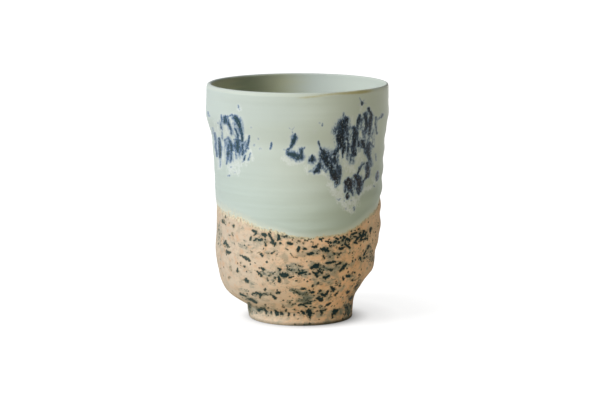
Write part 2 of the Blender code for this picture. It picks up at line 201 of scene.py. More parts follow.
    (0.7, (8, 12.6, 0.3)), (1, (7.2, 11.7, 0.34), (8.2, 11.4, 0.52), (9.2, 10.9, 0.52)),
    (0.9, (11.5, 8.6, 0.34), (12.3, 9.2, 0.4), (13.2, 9.8, 0.2)),
]
# Olive smears, where the turning tool dragged fine grit along, in the same way
SMEARS = [
    (0.55, (-34.2, 44, 0.9), (-34, 35, 0.8)), (0.45, (-32.3, 45.5, 1.2)), (0.5, (-31, 35, 1.4)),
    (0.5, (-24, 34.8, 1.8), (-22.5, 33, 1.4)), (0.5, (-24.2, 42.4, 0.8)),
    (0.36, (-19, 40, 1.6), (-12, 38, 1.6)), (0.45, (-18.5, 36.8, 1.6), (-13.5, 36, 1.4)),
    (0.6, (-10, 38.5, 1.3), (-3, 38.8, 0.9)), (0.4, (-14, 32.5, 1.5), (-10, 32, 1.2)),
    (0.6, (-15, 22.5, 1.6), (-10, 21.5, 1.6), (-4, 23, 1.5)), (0.5, (-12.5, 19.3, 1.3)),
    (0.85, (-3.5, 24, 1.2), (2.5, 23, 1.1)), (0.5, (-25, 15.6, 0.7), (-22.5, 15, 0.7)),
    (0.65, (-24, 12.8, 0.9), (-18.5, 10.4, 0.9)), (0.6, (-19.5, 13.6, 0.8), (-14, 13.4, 0.8)),
    (1, (-21.4, 9, 0.8), (-20.9, 7, 0.9)), (1, (-18.2, 6.8, 0.8), (-15.2, 7.3, 0.8)),
    (0.6, (-21, 5.4, 0.7), (-15.5, 5.8, 0.7)),
    (1, (-3.2, 15.4, 0.7), (0, 14, 1), (2.6, 12.8, 1.1), (4.6, 11.8, 0.9)),
    (0.95, (0, 11, 0.7), (3.4, 10, 0.8)), (1, (2.2, 11.4, 0.7), (4.8, 11.6, 0.6)),
    (0.95, (0.5, 8.8, 0.7), (4.6, 9.6, 0.6)),
    (0.9, (0.5, 15.9, 0.4), (2.2, 15.9, 0.4), (3.4, 14.2, 0.6)),
    (0.55, (-4.6, 9.8, 0.9), (-2, 9.2, 0.8)), (0.72, (5, 26.6, 1.2), (9.5, 24.8, 1.2)),
    (0.6, (-4.2, 26, 1.2), (0, 25.6, 1.2)), (0.6, (-1.5, 38.4, 0.8), (4.5, 38, 0.8)),
    (0.5, (-21.5, 18.6, 1.2), (-19.5, 17.6, 1.2)), (0.5, (-12.6, 19.4, 1.2), (-11, 18.4, 1.2)),
    (0.42, (-21.4, 34.8, 1), (-18.6, 33.6, 1)),
    (0.75, (10.5, 25, 1.2), (15, 24.6, 1), (17, 26, 0.9)), (0.6, (11, 27.2, 0.9), (16, 27.6, 0.8)),
    (0.6, (6, 22.6, 1.1), (12, 21.2, 1)), (0.55, (9, 32, 1.2), (13, 33.5, 1.2)),
    (0.55, (14.5, 36, 1.6), (21, 36.5, 1.8)), (0.6, (22.5, 38.5, 1.6), (27.5, 39.5, 1.6)),
    (0.48, (26, 28.8, 1.2), (29.6, 30.5, 1.2)), (0.36, (29.5, 29, 0.9), (30.2, 26.5, 0.8)),
    (0.6, (27.8, 32, 0.7), (29.4, 35, 0.7)), (0.45, (18, 25.5, 1.2)),
    (0.58, (29.2, 34.4, 0.9), (30.6, 29, 1.2)), (0.5, (25.5, 18.8, 0.9), (21.5, 11.5, 1)),
    (0.95, (20.2, 8.4, 1.1), (20.6, 5.2, 1.1)), (0.6, (8.6, 7.6, 1), (10.4, 6.4, 0.8)),
    (0.55, (4.4, 5, 1.4)), (0.5, (0.8, 5.8, 0.8)), (0.55, (9.5, 12.5, 1.4)), (0.5, (14, 15.6, 1.2)),
    (0.45, (17, 17.6, 0.9)), (0.45, (5.6, 14.4, 1)),
    (0.5, (15, 36.6, 1.6), (20, 36, 1.8), (26, 39.4, 1.8)),
    (0.46, (2, 33.4, 1.2), (6, 31.6, 1.2), (11, 33, 1.4)), (0.5, (13, 30.6, 1.4), (17, 31.4, 1.6)),
    (0.5, (-8.4, 23.4, 1.4), (-8.6, 20.6, 1.3)), (0.55, (12, 26, 1.6), (19, 26.4, 1.4)),
    (0.5, (6.4, 22, 1.2), (11.6, 20.8, 1.2)), (0.55, (2, 13.6, 1.5), (5, 11, 1.4)),
    (0.3, (-13.6, 7, 1.2), (-6, 6, 1.2)), (0.34, (-1, 6.2, 1.2), (9.6, 6, 1.2)),
    (0.6, (-20.6, 7.4, 1.2), (-16, 6.2, 1.4)), (0.5, (14.6, 5.8, 1.4), (19.6, 6.4, 1.2)),
    (0.3, (-33.2, 40, 1), (-31.4, 32, 1.2)), (0.3, (-29.8, 38.6, 1.2), (-27.4, 35.8, 1)),
    (0.4, (-24.6, 26.6, 1.2), (-21.6, 23.4, 1)), (0.4, (20.4, 21.4, 1.2), (23.6, 20.4, 1.4)),
    (0.55, (6.5, 19.6, 1.5), (13.5, 18.9, 1.5)),
]


def ease(value, low, high):
    """0 below low and 1 above high, with a smooth S between: 3t^2 - 2t^3."""
    t = np.clip((value - low) / (high - low), 0.0, 1.0)
    return t * t * (3.0 - 2.0 * t)


def wall_curve(column, height):
    """One column of the circles at any height: a cubic between each two circles, whose slope at
    a circle is the harmonic mean of the slopes on either side, or level where they turn."""
    levels, values = WALL_CIRCLES[:, 0], WALL_CIRCLES[:, column]
    spans = np.diff(levels)
    slopes = np.diff(values) / spans
    below, above = slopes[:-1], slopes[1:]
    onward = below * above > 0
    mean = np.where(onward, 2 * below * above / np.where(onward, below + above, 1.0), 0.0)
    slope = np.concatenate([slopes[:1], mean, slopes[-1:]])
    height = np.clip(height, levels[0], levels[-1])
    i = np.clip(np.searchsorted(levels, height, side="right") - 1, 0, len(spans) - 1)
    t = (height - levels[i]) / spans[i]
    climb = (values[i + 1] - values[i]) * t * t * (3 - 2 * t)
    leaving = slope[i] * spans[i] * t * (1 - t) ** 2
    arriving = slope[i + 1] * spans[i] * t * t * (t - 1)
    return values[i] + climb + leaving + arriving


def from_front(turn):
    """An angle from +X brought between minus and plus half a turn: the front is at -90 degrees."""
    return np.mod(turn + np.pi, 2 * np.pi) - np.pi


def throwing_ridge(turn, height):
    """Ridges that wind up the pressed side: a cosine of height that climbs with the turn, faded out
    towards -X, the seat and the lip."""
    pressed = ((1 + np.cos(turn)) / 2) ** 3
    fade = np.sin(np.pi * np.clip((height - SEAT) / (CLAY_TOP - SEAT), 0, 1))
    crest = RIDGE_CREST + RIDGE_CLIMB * from_front(turn) / (2 * np.pi)
    return RIDGE * pressed * fade * np.cos(2 * np.pi * (height - crest) / RIDGE_PITCH)


def finger_rings(turn, height):
    """Fine rings of the throwing fingers: three cosines of height that wind round the cup, each
    counted from its own crest so that the wall is only ever cut back."""
    waves = 0.0
    for depth, pitch, winds, start in FINGER_RINGS:
        wave = np.cos(2 * np.pi * height / (pitch * MM) - winds * turn + start)
        waves = waves + depth * (wave - 1)
    swell = 0.65 + 0.35 * np.sin(2 * turn + height / (9.0 * MM))
    return waves * MM * swell


def wall_radius(turn, height):
    """Distance of the clay's outside from the axis: the circles, shifted, with ridges, rings and
    bell-shaped knuckles where the pressing thumbs pushed the hip out."""
    radius = wall_curve(1, height) + wall_curve(2, height) * np.cos(turn)
    for side, wide, level, tall in KNUCKLES:
        aside = from_front(turn - math.radians(side)) / math.radians(wide)
        radius = radius + KNUCKLE * np.exp(-(aside ** 2) - ((height / MM - level) / tall) ** 2)
    return radius + throwing_ridge(turn, height) + finger_rings(turn, height)


def bore_radius(turn, height):
    """Distance of the clay's inside from the axis: the outside, without its rings and knuckles,
    less a wall that thins to the lip."""
    shift = wall_curve(2, height) * np.cos(turn)
    down = np.clip((CLAY_TOP - height) / NECK_DROP, 0.0, 1.0)
    wall = LIP_THICKNESS + (WALL_THICKNESS - LIP_THICKNESS) * down
    return wall_curve(1, height) + shift + throwing_ridge(turn, height) - wall


def lip_middle(turn):
    """Distance of the middle of the lip's half round from the axis."""
    return wall_radius(turn, LIP_BEND) - LIP_THICKNESS / 2


def bowl_bend(turn, down):
    """Radius and height of the bowl's bend, at angles from 0 at the wall to a quarter turn at the
    floor: a quarter ellipse, kept inside the bore."""
    height = BOWL_TOP - (BOWL_TOP - BOWL_FLOOR) * np.sin(down)
    reach = bore_radius(turn, BOWL_TOP) - BOWL_FLAT
    return np.minimum(BOWL_FLAT + reach * np.cos(down), bore_radius(turn, height)), height


def round_the_cup(front, back):
    """Angles of a ring's points, as one row: so many over the front, which shows the most, and so
    many over the rest."""
    start, end = math.radians(-188), math.radians(8)
    seen = np.linspace(start, end, front, endpoint=False)
    unseen = np.linspace(end, start + 2 * np.pi, back, endpoint=False)
    return np.concatenate([seen, unseen])[None, :]


def rings_mesh(name, radius, height, turn, poles):
    """Mesh of rings round the axis. radius and height are grids of rows by columns. With poles the
    first and last ring shrink to a point each, and otherwise the last row joins the first."""
    rows, columns = np.broadcast_shapes(radius.shape, height.shape, turn.shape)
    grid = np.empty((rows, columns, 3))
    grid[..., 0] = radius * np.cos(turn)
    grid[..., 1] = radius * np.sin(turn)
    grid[..., 2] = height
    index = np.arange(rows * columns).reshape(rows, columns)
    if poles:
        for end in (0, -1):
            grid[end] = grid[end].mean(axis=0)
            index[end] = index[end, 0]
    low = index[:-1] if poles else index
    high = index[1:] if poles else np.roll(index, -1, axis=0)
    quads = np.stack([low, np.roll(low, -1, axis=1), np.roll(high, -1, axis=1), high], axis=-1)
    used, packed = np.unique(index, return_inverse=True)
    quads = packed.reshape(-1)[quads]
    faces = (quads[1:-1] if poles else quads).reshape(-1, 4).tolist()
    if poles:
        faces += quads[0][:, [0, 2, 3]].tolist()
        faces += quads[-1][:, [0, 1, 2]].tolist()
    mesh = bpy.data.meshes.new(name)
    mesh.from_pydata(grid.reshape(-1, 3)[used], [], faces)
    mesh.update()
    mesh.shade_smooth()
    return mesh, used


def mark_mesh(mesh, used, **marks):
    """Keeps one value for each point of the grid under each name, for the finish to read."""
    for name, values in marks.items():
        attribute = mesh.attributes.new(name, "FLOAT", "POINT")
        kept = values.reshape(-1)[used]
        attribute.data.foreach_set("value", np.ascontiguousarray(kept, dtype=np.float32))


def in_scene(name, data):
    """A new object at the origin that shows a mesh, a lamp or a camera."""
    made = bpy.data.objects.new(name, data)
    bpy.context.scene.collection.objects.link(made)
    return made


def as_seen(radius, height, turn):
    """Where points show from the lens, in millimetres across and up from the foot's front edge: a
    view in perspective, measured in the plane of the cup's axis."""
    x = radius * np.cos(turn) - LENS_PLACE[0]
    y = radius * np.sin(turn) - LENS_PLACE[1]
    z = height - LENS_PLACE[2]
    away = y * math.cos(LENS_TILT) - z * math.sin(LENS_TILT)
    rise = y * math.sin(LENS_TILT) + z * math.cos(LENS_TILT)
    return (
        SEEN_MIDDLE[0] + SEEN_SPREAD[0] * x / away,
        SEEN_MIDDLE[1] + SEEN_SPREAD[1] * rise / away,
    )


def strokes(lines, across, up):
    """The strongest of the lines at each point, 0 to 1. Each stretch of a line is a tapering bar
    with soft sides: its strength times exp(-0.42 d^2 / w^2) at a distance d from its middle, where
    w is the half width there."""
    field = np.zeros(np.broadcast_shapes(across.shape, up.shape))
    for strength, *points in lines:
        for (x0, z0, w0), (x1, z1, w1) in zip(points, points[1:] or points):
            span = max((x1 - x0) ** 2 + (z1 - z0) ** 2, 1e-9)
            t = np.clip(((across - x0) * (x1 - x0) + (up - z0) * (z1 - z0)) / span, 0, 1)
            apart = (across - x0 - t * (x1 - x0)) ** 2 + (up - z0 - t * (z1 - z0)) ** 2
            bar = strength * np.exp(-0.42 * apart / (w0 + (w1 - w0) * t) ** 2)
            field = np.maximum(field, bar)
    return field


def both_sides(front_lines, far_lines, radius, height, turn):
    """Field of the lines that face the lens, and of the far lines where the wall turns away. Those
    are placed by their distance along the wall from the middle of the back, and their height."""
    facing = ease(-np.sin(turn), -0.06, 0.06)
    along = from_front(turn - math.radians(90)) * BACK_RADIUS
    near = strokes(front_lines, *as_seen(radius, height, turn))
    return facing * near + (1 - facing) * strokes(far_lines, along, height / MM)


def far_chips():
    """Grit for the sides that face away: loose clusters of short lines, most of them level, each
    cluster on a smear."""
    luck = np.random.default_rng(5)
    chips, smears = [], []
    for cluster in range(115):
        middle, level = luck.uniform(-58, 58), luck.uniform(0.5, 48)
        dark, start = luck.uniform(0.4, 0.7), (middle - 1.5, level, 1.0)
        smears.append((dark, start, (middle + 1.5, level + luck.normal(0, 0.5), 0.9)))
        for chip in range(luck.integers(1, 5)):
            x, z = middle + luck.normal(0, 2.2), level + luck.normal(0, 1.3)
            wide = luck.uniform(0.25, 0.6)
            end_x, end_z = x + luck.uniform(0.2, 1.6), z - luck.uniform(-0.4, 0.9)
            end = (end_x, end_z, wide * luck.uniform(0.6, 1.1))
            chips.append((luck.uniform(0.5, 1.0), (x, z, wide), end))
    return chips, smears


def dip_line(turn):
    """Height of the glaze's lower edge: a saddle, low at front and back, that rises to the right,
    with the small waves of the dip and bell-shaped sags where the glaze crept down."""
    saddle = 45.1 + 5.5 * np.cos(2 * (turn - math.radians(15))) + 1.9 * np.cos(turn)
    waves = 0.22 * np.sin(7 * turn + 0.8) + 0.16 * np.sin(11 * turn + 2.4)
    waves = waves + 0.12 * np.sin(19 * turn)
    sags = 0.0
    for depth, middle, width in SAGS:
        sags = sags + depth * np.exp(-((np.degrees(from_front(turn)) - middle) / width) ** 2)
    return (saddle + waves - sags) * MM


def thin_edge(turn):
    """Width of the band at the glaze line where the coat thins out: broad on the left, narrow in
    front, middling on the right, in millimetres."""
    left = np.exp(-(from_front(turn - math.radians(200)) / math.radians(42)) ** 2)
    right = np.exp(-(from_front(turn - math.radians(-20)) / math.radians(40)) ** 2)
    return THIN_EDGE + 1.0 * left + 0.30 * right


def edge_reach(turn, height):
    """How far a point lies above the glaze line, in widths of the thin edge there. A wash of the
    glaze runs on a little below the coat where that edge is broad."""
    wash = thin_edge(turn) - THIN_EDGE
    return ((height - dip_line(turn)) / MM + wash) / thin_edge(turn)


def edge_fray(turn, height):
    """How ragged the glaze line is: 1.6 times the root of the thin edge's width."""
    return 1.6 * thin_edge(turn) ** 0.5 + 0 * height


class Value:
    """The output of a node. Arithmetic on it adds the Math nodes that do it."""

    def __init__(self, nodes, socket):
        self.nodes, self.socket = nodes, socket

    def math(self, operation, first, second=0.0):
        return self.nodes.node("ShaderNodeMath", {"operation": operation}, {0: first, 1: second})

    def __add__(self, other):
        return self.math("ADD", self, other)

    def __sub__(self, other):
        return self.math("SUBTRACT", self, other)

    def __rsub__(self, other):
        return self.math("SUBTRACT", other, self)

    def __mul__(self, other):
        return self.math("MULTIPLY", self, other)

    def __truediv__(self, other):
        return self.math("DIVIDE", self, other)

    def at_least(self, other):
        return self.math("MAXIMUM", self, other)

    def over(self, low, high):
        """0 below low and 1 above high, with a smooth rise between."""
        return self.nodes.node(
            "ShaderNodeMapRange",
            {"interpolation_type": "SMOOTHSTEP"},
            {"Value": self, "From Min": low, "From Max": high},
        )

    __radd__ = __add__
    __rmul__ = __mul__


class Nodes:
    """A node tree, of a material or of the room."""

    def __init__(self, tree):
        self.tree = tree

    def node(self, kind, settings, sockets, output=0):
        made = self.tree.nodes.new(kind)
        for setting, value in settings.items():
            setattr(made, setting, value)
        for key, value in sockets.items():
            self.plug(made.inputs[key], value)
        return Value(self, made.outputs[output])

    def plug(self, socket, value):
        if isinstance(value, Value):
            self.tree.links.new(value.socket, socket)
        else:
            socket.default_value = value


class Finish(Nodes):
    """A material: its node tree, its shader, and the patterns that its finish is made of."""

    def __init__(self, name, constants):
        self.material = bpy.data.materials.new(name)
        self.material.use_nodes = True
        super().__init__(self.material.node_tree)
        self.shader = self.tree.nodes["Principled BSDF"]
        for socket, value in constants.items():
            self.shader.inputs[socket].default_value = value
        self.place = self.node("ShaderNodeTexCoord", {}, {}, "Object")

    def blend(self, factor, first, second):
        """The first colour where factor is 0, the second where it is 1."""
        sockets = {0: factor, 6: first, 7: second}
        return self.node("ShaderNodeMix", {"data_type": "RGBA"}, sockets, 2)

    def along(self, axis):
        """One of the object coordinates, in millimetres."""
        return self.node("ShaderNodeSeparateXYZ", {}, {0: self.place}, axis) / MM

    def noise(self, size, detail, stretch=(1, 1, 1)):
        """Cloudy noise, with lumps of about the given size in millimetres. Each axis is scaled
        first, so that the lumps narrow along an axis that is scaled up."""
        scaled = {0: self.place, 1: stretch}
        place = self.node("ShaderNodeVectorMath", {"operation": "MULTIPLY"}, scaled)
        sockets = {"Vector": place, "Scale": 1.0 / (size * MM), "Detail": detail}
        return self.node("ShaderNodeTexNoise", {}, sockets, "Fac")

    def mark(self, name):
        """A value that the mesh keeps for each of its points."""
        return self.node("ShaderNodeAttribute", {"attribute_name": name}, {}, "Fac")

    def relief(self, height, distance, strength):
        """Bump from a height between 0 and 1 that stands for the given distance."""
        sockets = {"Height": height, "Distance": distance, "Strength": strength}
        return self.node("ShaderNodeBump", {}, sockets, "Normal")

    def dress(self, sockets):
        for socket, value in sockets.items():
            self.plug(self.shader.inputs[socket], value)
        return self.material


def tone(red, green, blue):
    """A colour as read off a screen, 0 to 255, turned into linear light."""
    light = []
    for step in (red / 255, green / 255, blue / 255):
        light.append(step / 12.92 if step <= 0.04045 else ((step + 0.055) / 1.055) ** 2.4)
    return (*light, 1.0)


def clay_tones(finish):
    """Buff clay before its grit: pinkish grey on the left to a lighter orange on the right, the
    side in shade, as painted warm fill light; with clouds, tan and olive blotches, painted bounce
    light low on the left, a painted pale sheen at the far right edge, and paler in fine grains."""
    cloud = finish.noise(9.0, 3.0, (1, 1, 1.5))
    blotch = finish.noise(3.0, 3.0, (1, 1, 1.4))
    ash = finish.noise(3.6, 3.0, (1, 1.2, 1.0))
    grain = finish.noise(0.35, 3.0)
    across = finish.along("X")
    # Painted warm fill light: the side in shade, towards +X, gets a lighter, more orange tone.
    shade_side_fill = (across + (cloud - 0.5) * 30.0).over(-30.0, 26.0)
    sooty = across.over(-24.0, 4.0) * across.over(32.0, 20.0)
    # Painted bounce light: the lower wall on the left is made paler, as if lit from the table.
    painted_bounce = finish.along("Z").over(30.0, 8.0) * across.over(0.0, -20.0)
    body = finish.blend(shade_side_fill, tone(204, 190, 175), tone(244, 198, 157))
    body = finish.blend(blotch.over(0.50, 0.68) * 0.46, body, tone(208, 162, 122))
    body = finish.blend(blotch.over(0.46, 0.32) * 0.45, body, tone(222, 206, 184))
    body = finish.blend(ash.over(0.50, 0.68) * (sooty * 0.34 + 0.40), body, tone(152, 149, 134))
    body = finish.blend(painted_bounce * 0.36, body, tone(228, 214, 198))
    # Painted sheen: the far right edge, where the wall turns away, is made paler.
    body = finish.blend(across.over(24.0, 33.0) * 0.55, body, tone(250, 226, 202))
    return finish.blend(grain.over(0.4, 0.8) * 0.30, body, tone(236, 214, 186)), grain


def fringed(finish, clay, glaze):
    """Colour across the glaze line: clay, a cream or olive fringe with brown ticks, pale thin
    glaze, then the coat. A coarse and a fine noise fray the line."""
    fray = finish.mark("edge_fray")
    coarse = (finish.noise(1.5, 2.0, (1, 1, 0.7)) - 0.5) * 1.7
    reach = finish.mark("edge_reach") + (coarse + (finish.noise(0.6, 2.0) - 0.5) * 1.6) * fray
    tick = finish.noise(0.9, 2.0, (1, 1, 0.6)).over(0.53, 0.62)
    fringe = finish.blend(fray.over(1.1, 1.5), tone(174, 166, 132), tone(212, 204, 174))
    fringe = finish.blend(fray.over(1.55, 2.0), fringe, tone(216, 204, 182))
    fringe = finish.blend(tick * 0.72, fringe, tone(124, 106, 86))
    bead = finish.noise(0.75, 1.0).over(0.55, 0.63) * reach.over(-0.8, 0.0) * reach.over(1.6, 0.7)
    pale = finish.blend(fray.over(1.1, 1.9) * 0.6, glaze, tone(210, 215, 202))
    colour = finish.blend(reach.over(-1.0, 0.0) * 0.8, clay, fringe)
    colour = finish.blend(reach.over(0.0, 0.9), colour, pale)
    colour = finish.blend(bead * 0.6, colour, tone(232, 226, 200))
    return finish.blend(reach.over(0.9, 3.2), colour, glaze)


def specks(clay, size, crowd, fray):
    """Grains of grit: the middles of some cells of a Voronoi pattern. crowd is the share of the
    cells that hold one, and fray moves a grain's edge in or out."""
    sockets = {"Vector": clay.place, "Scale": 1.0 / (size * MM)}
    cell = clay.node("ShaderNodeTexVoronoi", {}, sockets, "Color")
    apart = clay.node("ShaderNodeTexVoronoi", {}, sockets, "Distance")
    chance = clay.node("ShaderNodeSeparateColor", {}, {"Color": cell}, "Red")
    return (crowd - chance).over(0.0, 0.05) * (0.42 - apart + fray).over(0.0, 0.16)


def gritty_clay(name, stained_foot):
    """Bare buff clay. The painted chips and smears are frayed by noise and cut off, dark in the
    middle with an olive rim, with specks of two sizes between them. The foot is stained, and dark
    along its lower edge: worn, with painted contact shade that is deeper away from the lamp."""
    clay = Finish(name, {"Specular IOR Level": 0.06})
    body, grain = clay_tones(clay)
    lumps = clay.noise(0.9, 2.0)
    crumb = lumps - 0.5
    drag = clay.noise(1.3, 2.0, (0.7, 0.7, 1.3)) - 0.5
    painted = clay.mark("chip")
    smeared = clay.mark("smear")
    smear = (smeared + drag * 1.2 * smeared.over(0.02, 0.35)).over(0.12, 0.75)
    front = clay.along("X").over(-24.0, 4.0)
    patch = clay.noise(7.0, 2.0).over(0.48, 0.68)
    crowd = 0.02 + front * 0.06 + smear * 0.42 + patch * (front * 0.10 + 0.03)
    fray = crumb * 1.1
    speck = specks(clay, 1.6, crowd, fray).at_least(specks(clay, 1.25, crowd + 0.02, fray))
    field = painted + crumb * 1.5 * painted.over(0.04, 0.35)
    chip = field.over(0.38, 0.60).at_least(speck * 0.9)
    rim = field.over(0.05, 0.36).at_least(speck)
    wander = clay.noise(2.6, 2.0, (1, 1, 1.8)) - 0.5
    scratch = wander.math("ABSOLUTE", wander).over(0.030, 0.006)
    scratch = scratch * clay.noise(5.0, 2.0).over(0.50, 0.62)
    olive = clay.blend(drag.over(0.0, 0.18), tone(146, 150, 137), tone(87, 107, 105))
    body = clay.blend(smear * (front * 0.14 + 0.66), body, olive)
    body = clay.blend((smeared + drag).over(0.62, 1.0) * 0.65, body, tone(74, 89, 83))
    body = clay.blend(scratch * (front * 0.25 + 0.3), body, tone(112, 106, 88))
    body = clay.blend(rim * 0.52, body, tone(120, 114, 88))
    if stained_foot:
        body = clay.blend(drag.over(-0.2, 0.2) * 0.4, body, tone(152, 160, 150))
    body = fringed(clay, body, tone(190, 203, 195))
    dark = clay.blend(crumb.over(-0.1, 0.25), tone(2, 31, 34), tone(14, 53, 57))
    dark = clay.blend(front, tone(18, 58, 64), dark)
    body = clay.blend(chip * (front * 0.11 + 0.86), body, dark)
    if stained_foot:
        # Worn stain and painted contact shade along the foot's lower edge, deeper towards +X, away
        # from the lamp.
        worn_and_contact_shade = (clay.along("Z") + (grain - 0.5) * 0.9).over(1.7, 0.6)
        worn_and_contact_shade = worn_and_contact_shade * (clay.along("X").over(-9.0, 4.0) * 0.46 + 0.40)
        body = clay.blend(worn_and_contact_shade, body, tone(56, 64, 54))
    relief = grain * 0.6 + lumps * 0.4 - chip * 0.25
    return clay.dress({
        "Base Color": body,
        "Roughness": 0.88 - chip * 0.25,
        "Normal": clay.relief(relief, 0.12 * MM, 0.8),
    })


turn = round_the_cup(380, 90)
bare = np.linspace(SEAT + 0.08 * MM, 55.0 * MM, 150)[:, None]
covered = np.linspace(57.0 * MM, LIP_BEND, 12)[:, None]
outside = np.concatenate([bare, covered])
under = np.array([0.0, 0.5, 0.8, 0.95, 1.0])[:, None]
lip_turn = np.linspace(0, np.pi, 7)[1:, None]
inside = np.linspace(LIP_BEND, BOWL_TOP, 12)[1:, None]
bowl_radius, bowl_level = bowl_bend(turn, np.linspace(0, np.pi / 2, 7)[1:, None])
radius = np.concatenate([
    under * (wall_radius(turn, SEAT) - 0.06 * MM),
    wall_radius(turn, outside),
    lip_middle(turn) + LIP_THICKNESS / 2 * np.cos(lip_turn),
    bore_radius(turn, inside),
    bowl_radius,
    np.full_like(turn, BOWL_FLAT / 2),
    np.zeros_like(turn),
])
level = np.concatenate([
    np.full_like(under, SEAT),
    outside,
    LIP_BEND + LIP_THICKNESS / 2 * np.sin(lip_turn),
    inside,
    bowl_level,
    np.full((2, 1), BOWL_FLOOR),
]) + 0 * turn
far_chip_lines, far_smear_lines = far_chips()
mesh, used = rings_mesh("clay_wall", radius, level, turn, poles=True)
mark_mesh(
    mesh,
    used,
    edge_reach=edge_reach(turn, level),
    edge_fray=edge_fray(turn, level),
    chip=both_sides(CHIPS, far_chip_lines, radius, level, turn),
    smear=both_sides(SMEARS, far_smear_lines, radius, level, turn),
)
mesh.materials.append(gritty_clay("bare_clay_grit", stained_foot=False))
clay_wall = in_scene("clay_wall", mesh)
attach(clay_wall, "root")
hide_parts("clay_body")


# ----------------------------------------------------------------------------------- foot
# The low ring that the cup stands on: a coil of the same clay, luted under the floor with
# slip and turned true on the wheel. Its lower edge is worn and stained dark all round, with
# painted contact shade on it that is deeper on the side away from the lamp.

FOOT_TOP = 5.98 * MM
FOOT_TOP_RADIUS = 22.4 * MM
FOOT_TABLE_RADIUS = 22.2 * MM
FOOT_HOLE_RADIUS = 17.4 * MM
FOOT_SHIFT = 1.0 * MM  # the ring's middle, towards +X
FOOT_HOLLOW = 0.15 * MM  # how far the outside is hollowed
FOOT_MIDDLE = 19.8 * MM  # half way across the ring


def foot_section(rows):
    """The ring's section, walked round once as an angle: a rounded box whose sides are powers of
    the sine and cosine, with a slightly hollow outside that leans out to the top."""
    walk = np.linspace(0, 2 * np.pi, rows, endpoint=False)[:, None]
    across, up = np.cos(walk), np.sin(walk)
    power = np.where(up > 0, 0.08, 0.22)
    across = np.sign(across) * np.abs(across) ** power
    up = np.sign(up) * np.abs(up) ** power
    height = FOOT_TOP / 2 * (1 + up)
    lean = (height / FOOT_TOP) ** 1.5
    outer = FOOT_TABLE_RADIUS + (FOOT_TOP_RADIUS - FOOT_TABLE_RADIUS) * lean
    radius = FOOT_HOLE_RADIUS + (outer - FOOT_HOLE_RADIUS) * (1 + across) / 2
    hollow = FOOT_HOLLOW * np.sin(np.pi * height / FOOT_TOP) * (radius > FOOT_MIDDLE)
    return radius - hollow, height


turn = round_the_cup(280, 70)
ring, level = foot_section(140)
uneven = 0.08 * np.sin(3 * turn + 0.7) + 0.05 * np.sin(8 * turn + 2.0)
uneven = (uneven + 0.5 * ease(-np.cos(turn), 0.2, 1.0)) * MM
radius = ring + uneven * ease(level, 0.5 * MM, 3.0 * MM) + FOOT_SHIFT * np.cos(turn)
level = level + 0 * turn
mesh, used = rings_mesh("foot", radius, level, turn, poles=False)
mark_mesh(
    mesh,
    used,
    edge_reach=np.full_like(radius, -30.0),
    edge_fray=np.ones_like(radius),
    chip=1.06 * both_sides(CHIPS, far_chip_lines, radius, level, turn),
    smear=1.1 * both_sides(SMEARS, far_smear_lines, radius, level, turn),
)
mesh.materials.append(gritty_clay("foot_clay_grit", stained_foot=True))
foot = in_scene("foot", mesh)
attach(foot, "root")
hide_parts("foot_ring")


# ---------------------------------------------------------------------------- dipped coat
# The satin green-grey glaze on the upper outside, from dipping the cup upside down. It
# thins out at its lower edge, and dark slate runs with blue rims and milky crystal haloes
# have crept down through it where a second glaze was dabbed on.

COAT = 0.53 * MM  # skin of the glaze above the clay
COAT_EDGE = 0.10  # thickness of the coat's rounded edge, in millimetres
COAT_TOP = 98.45 * MM
GLAZE_CLEAR = 0.03 * MM  # underside of a coat above the clay
RUN_RELIEF = 0.05 * MM  # how far a run stands out

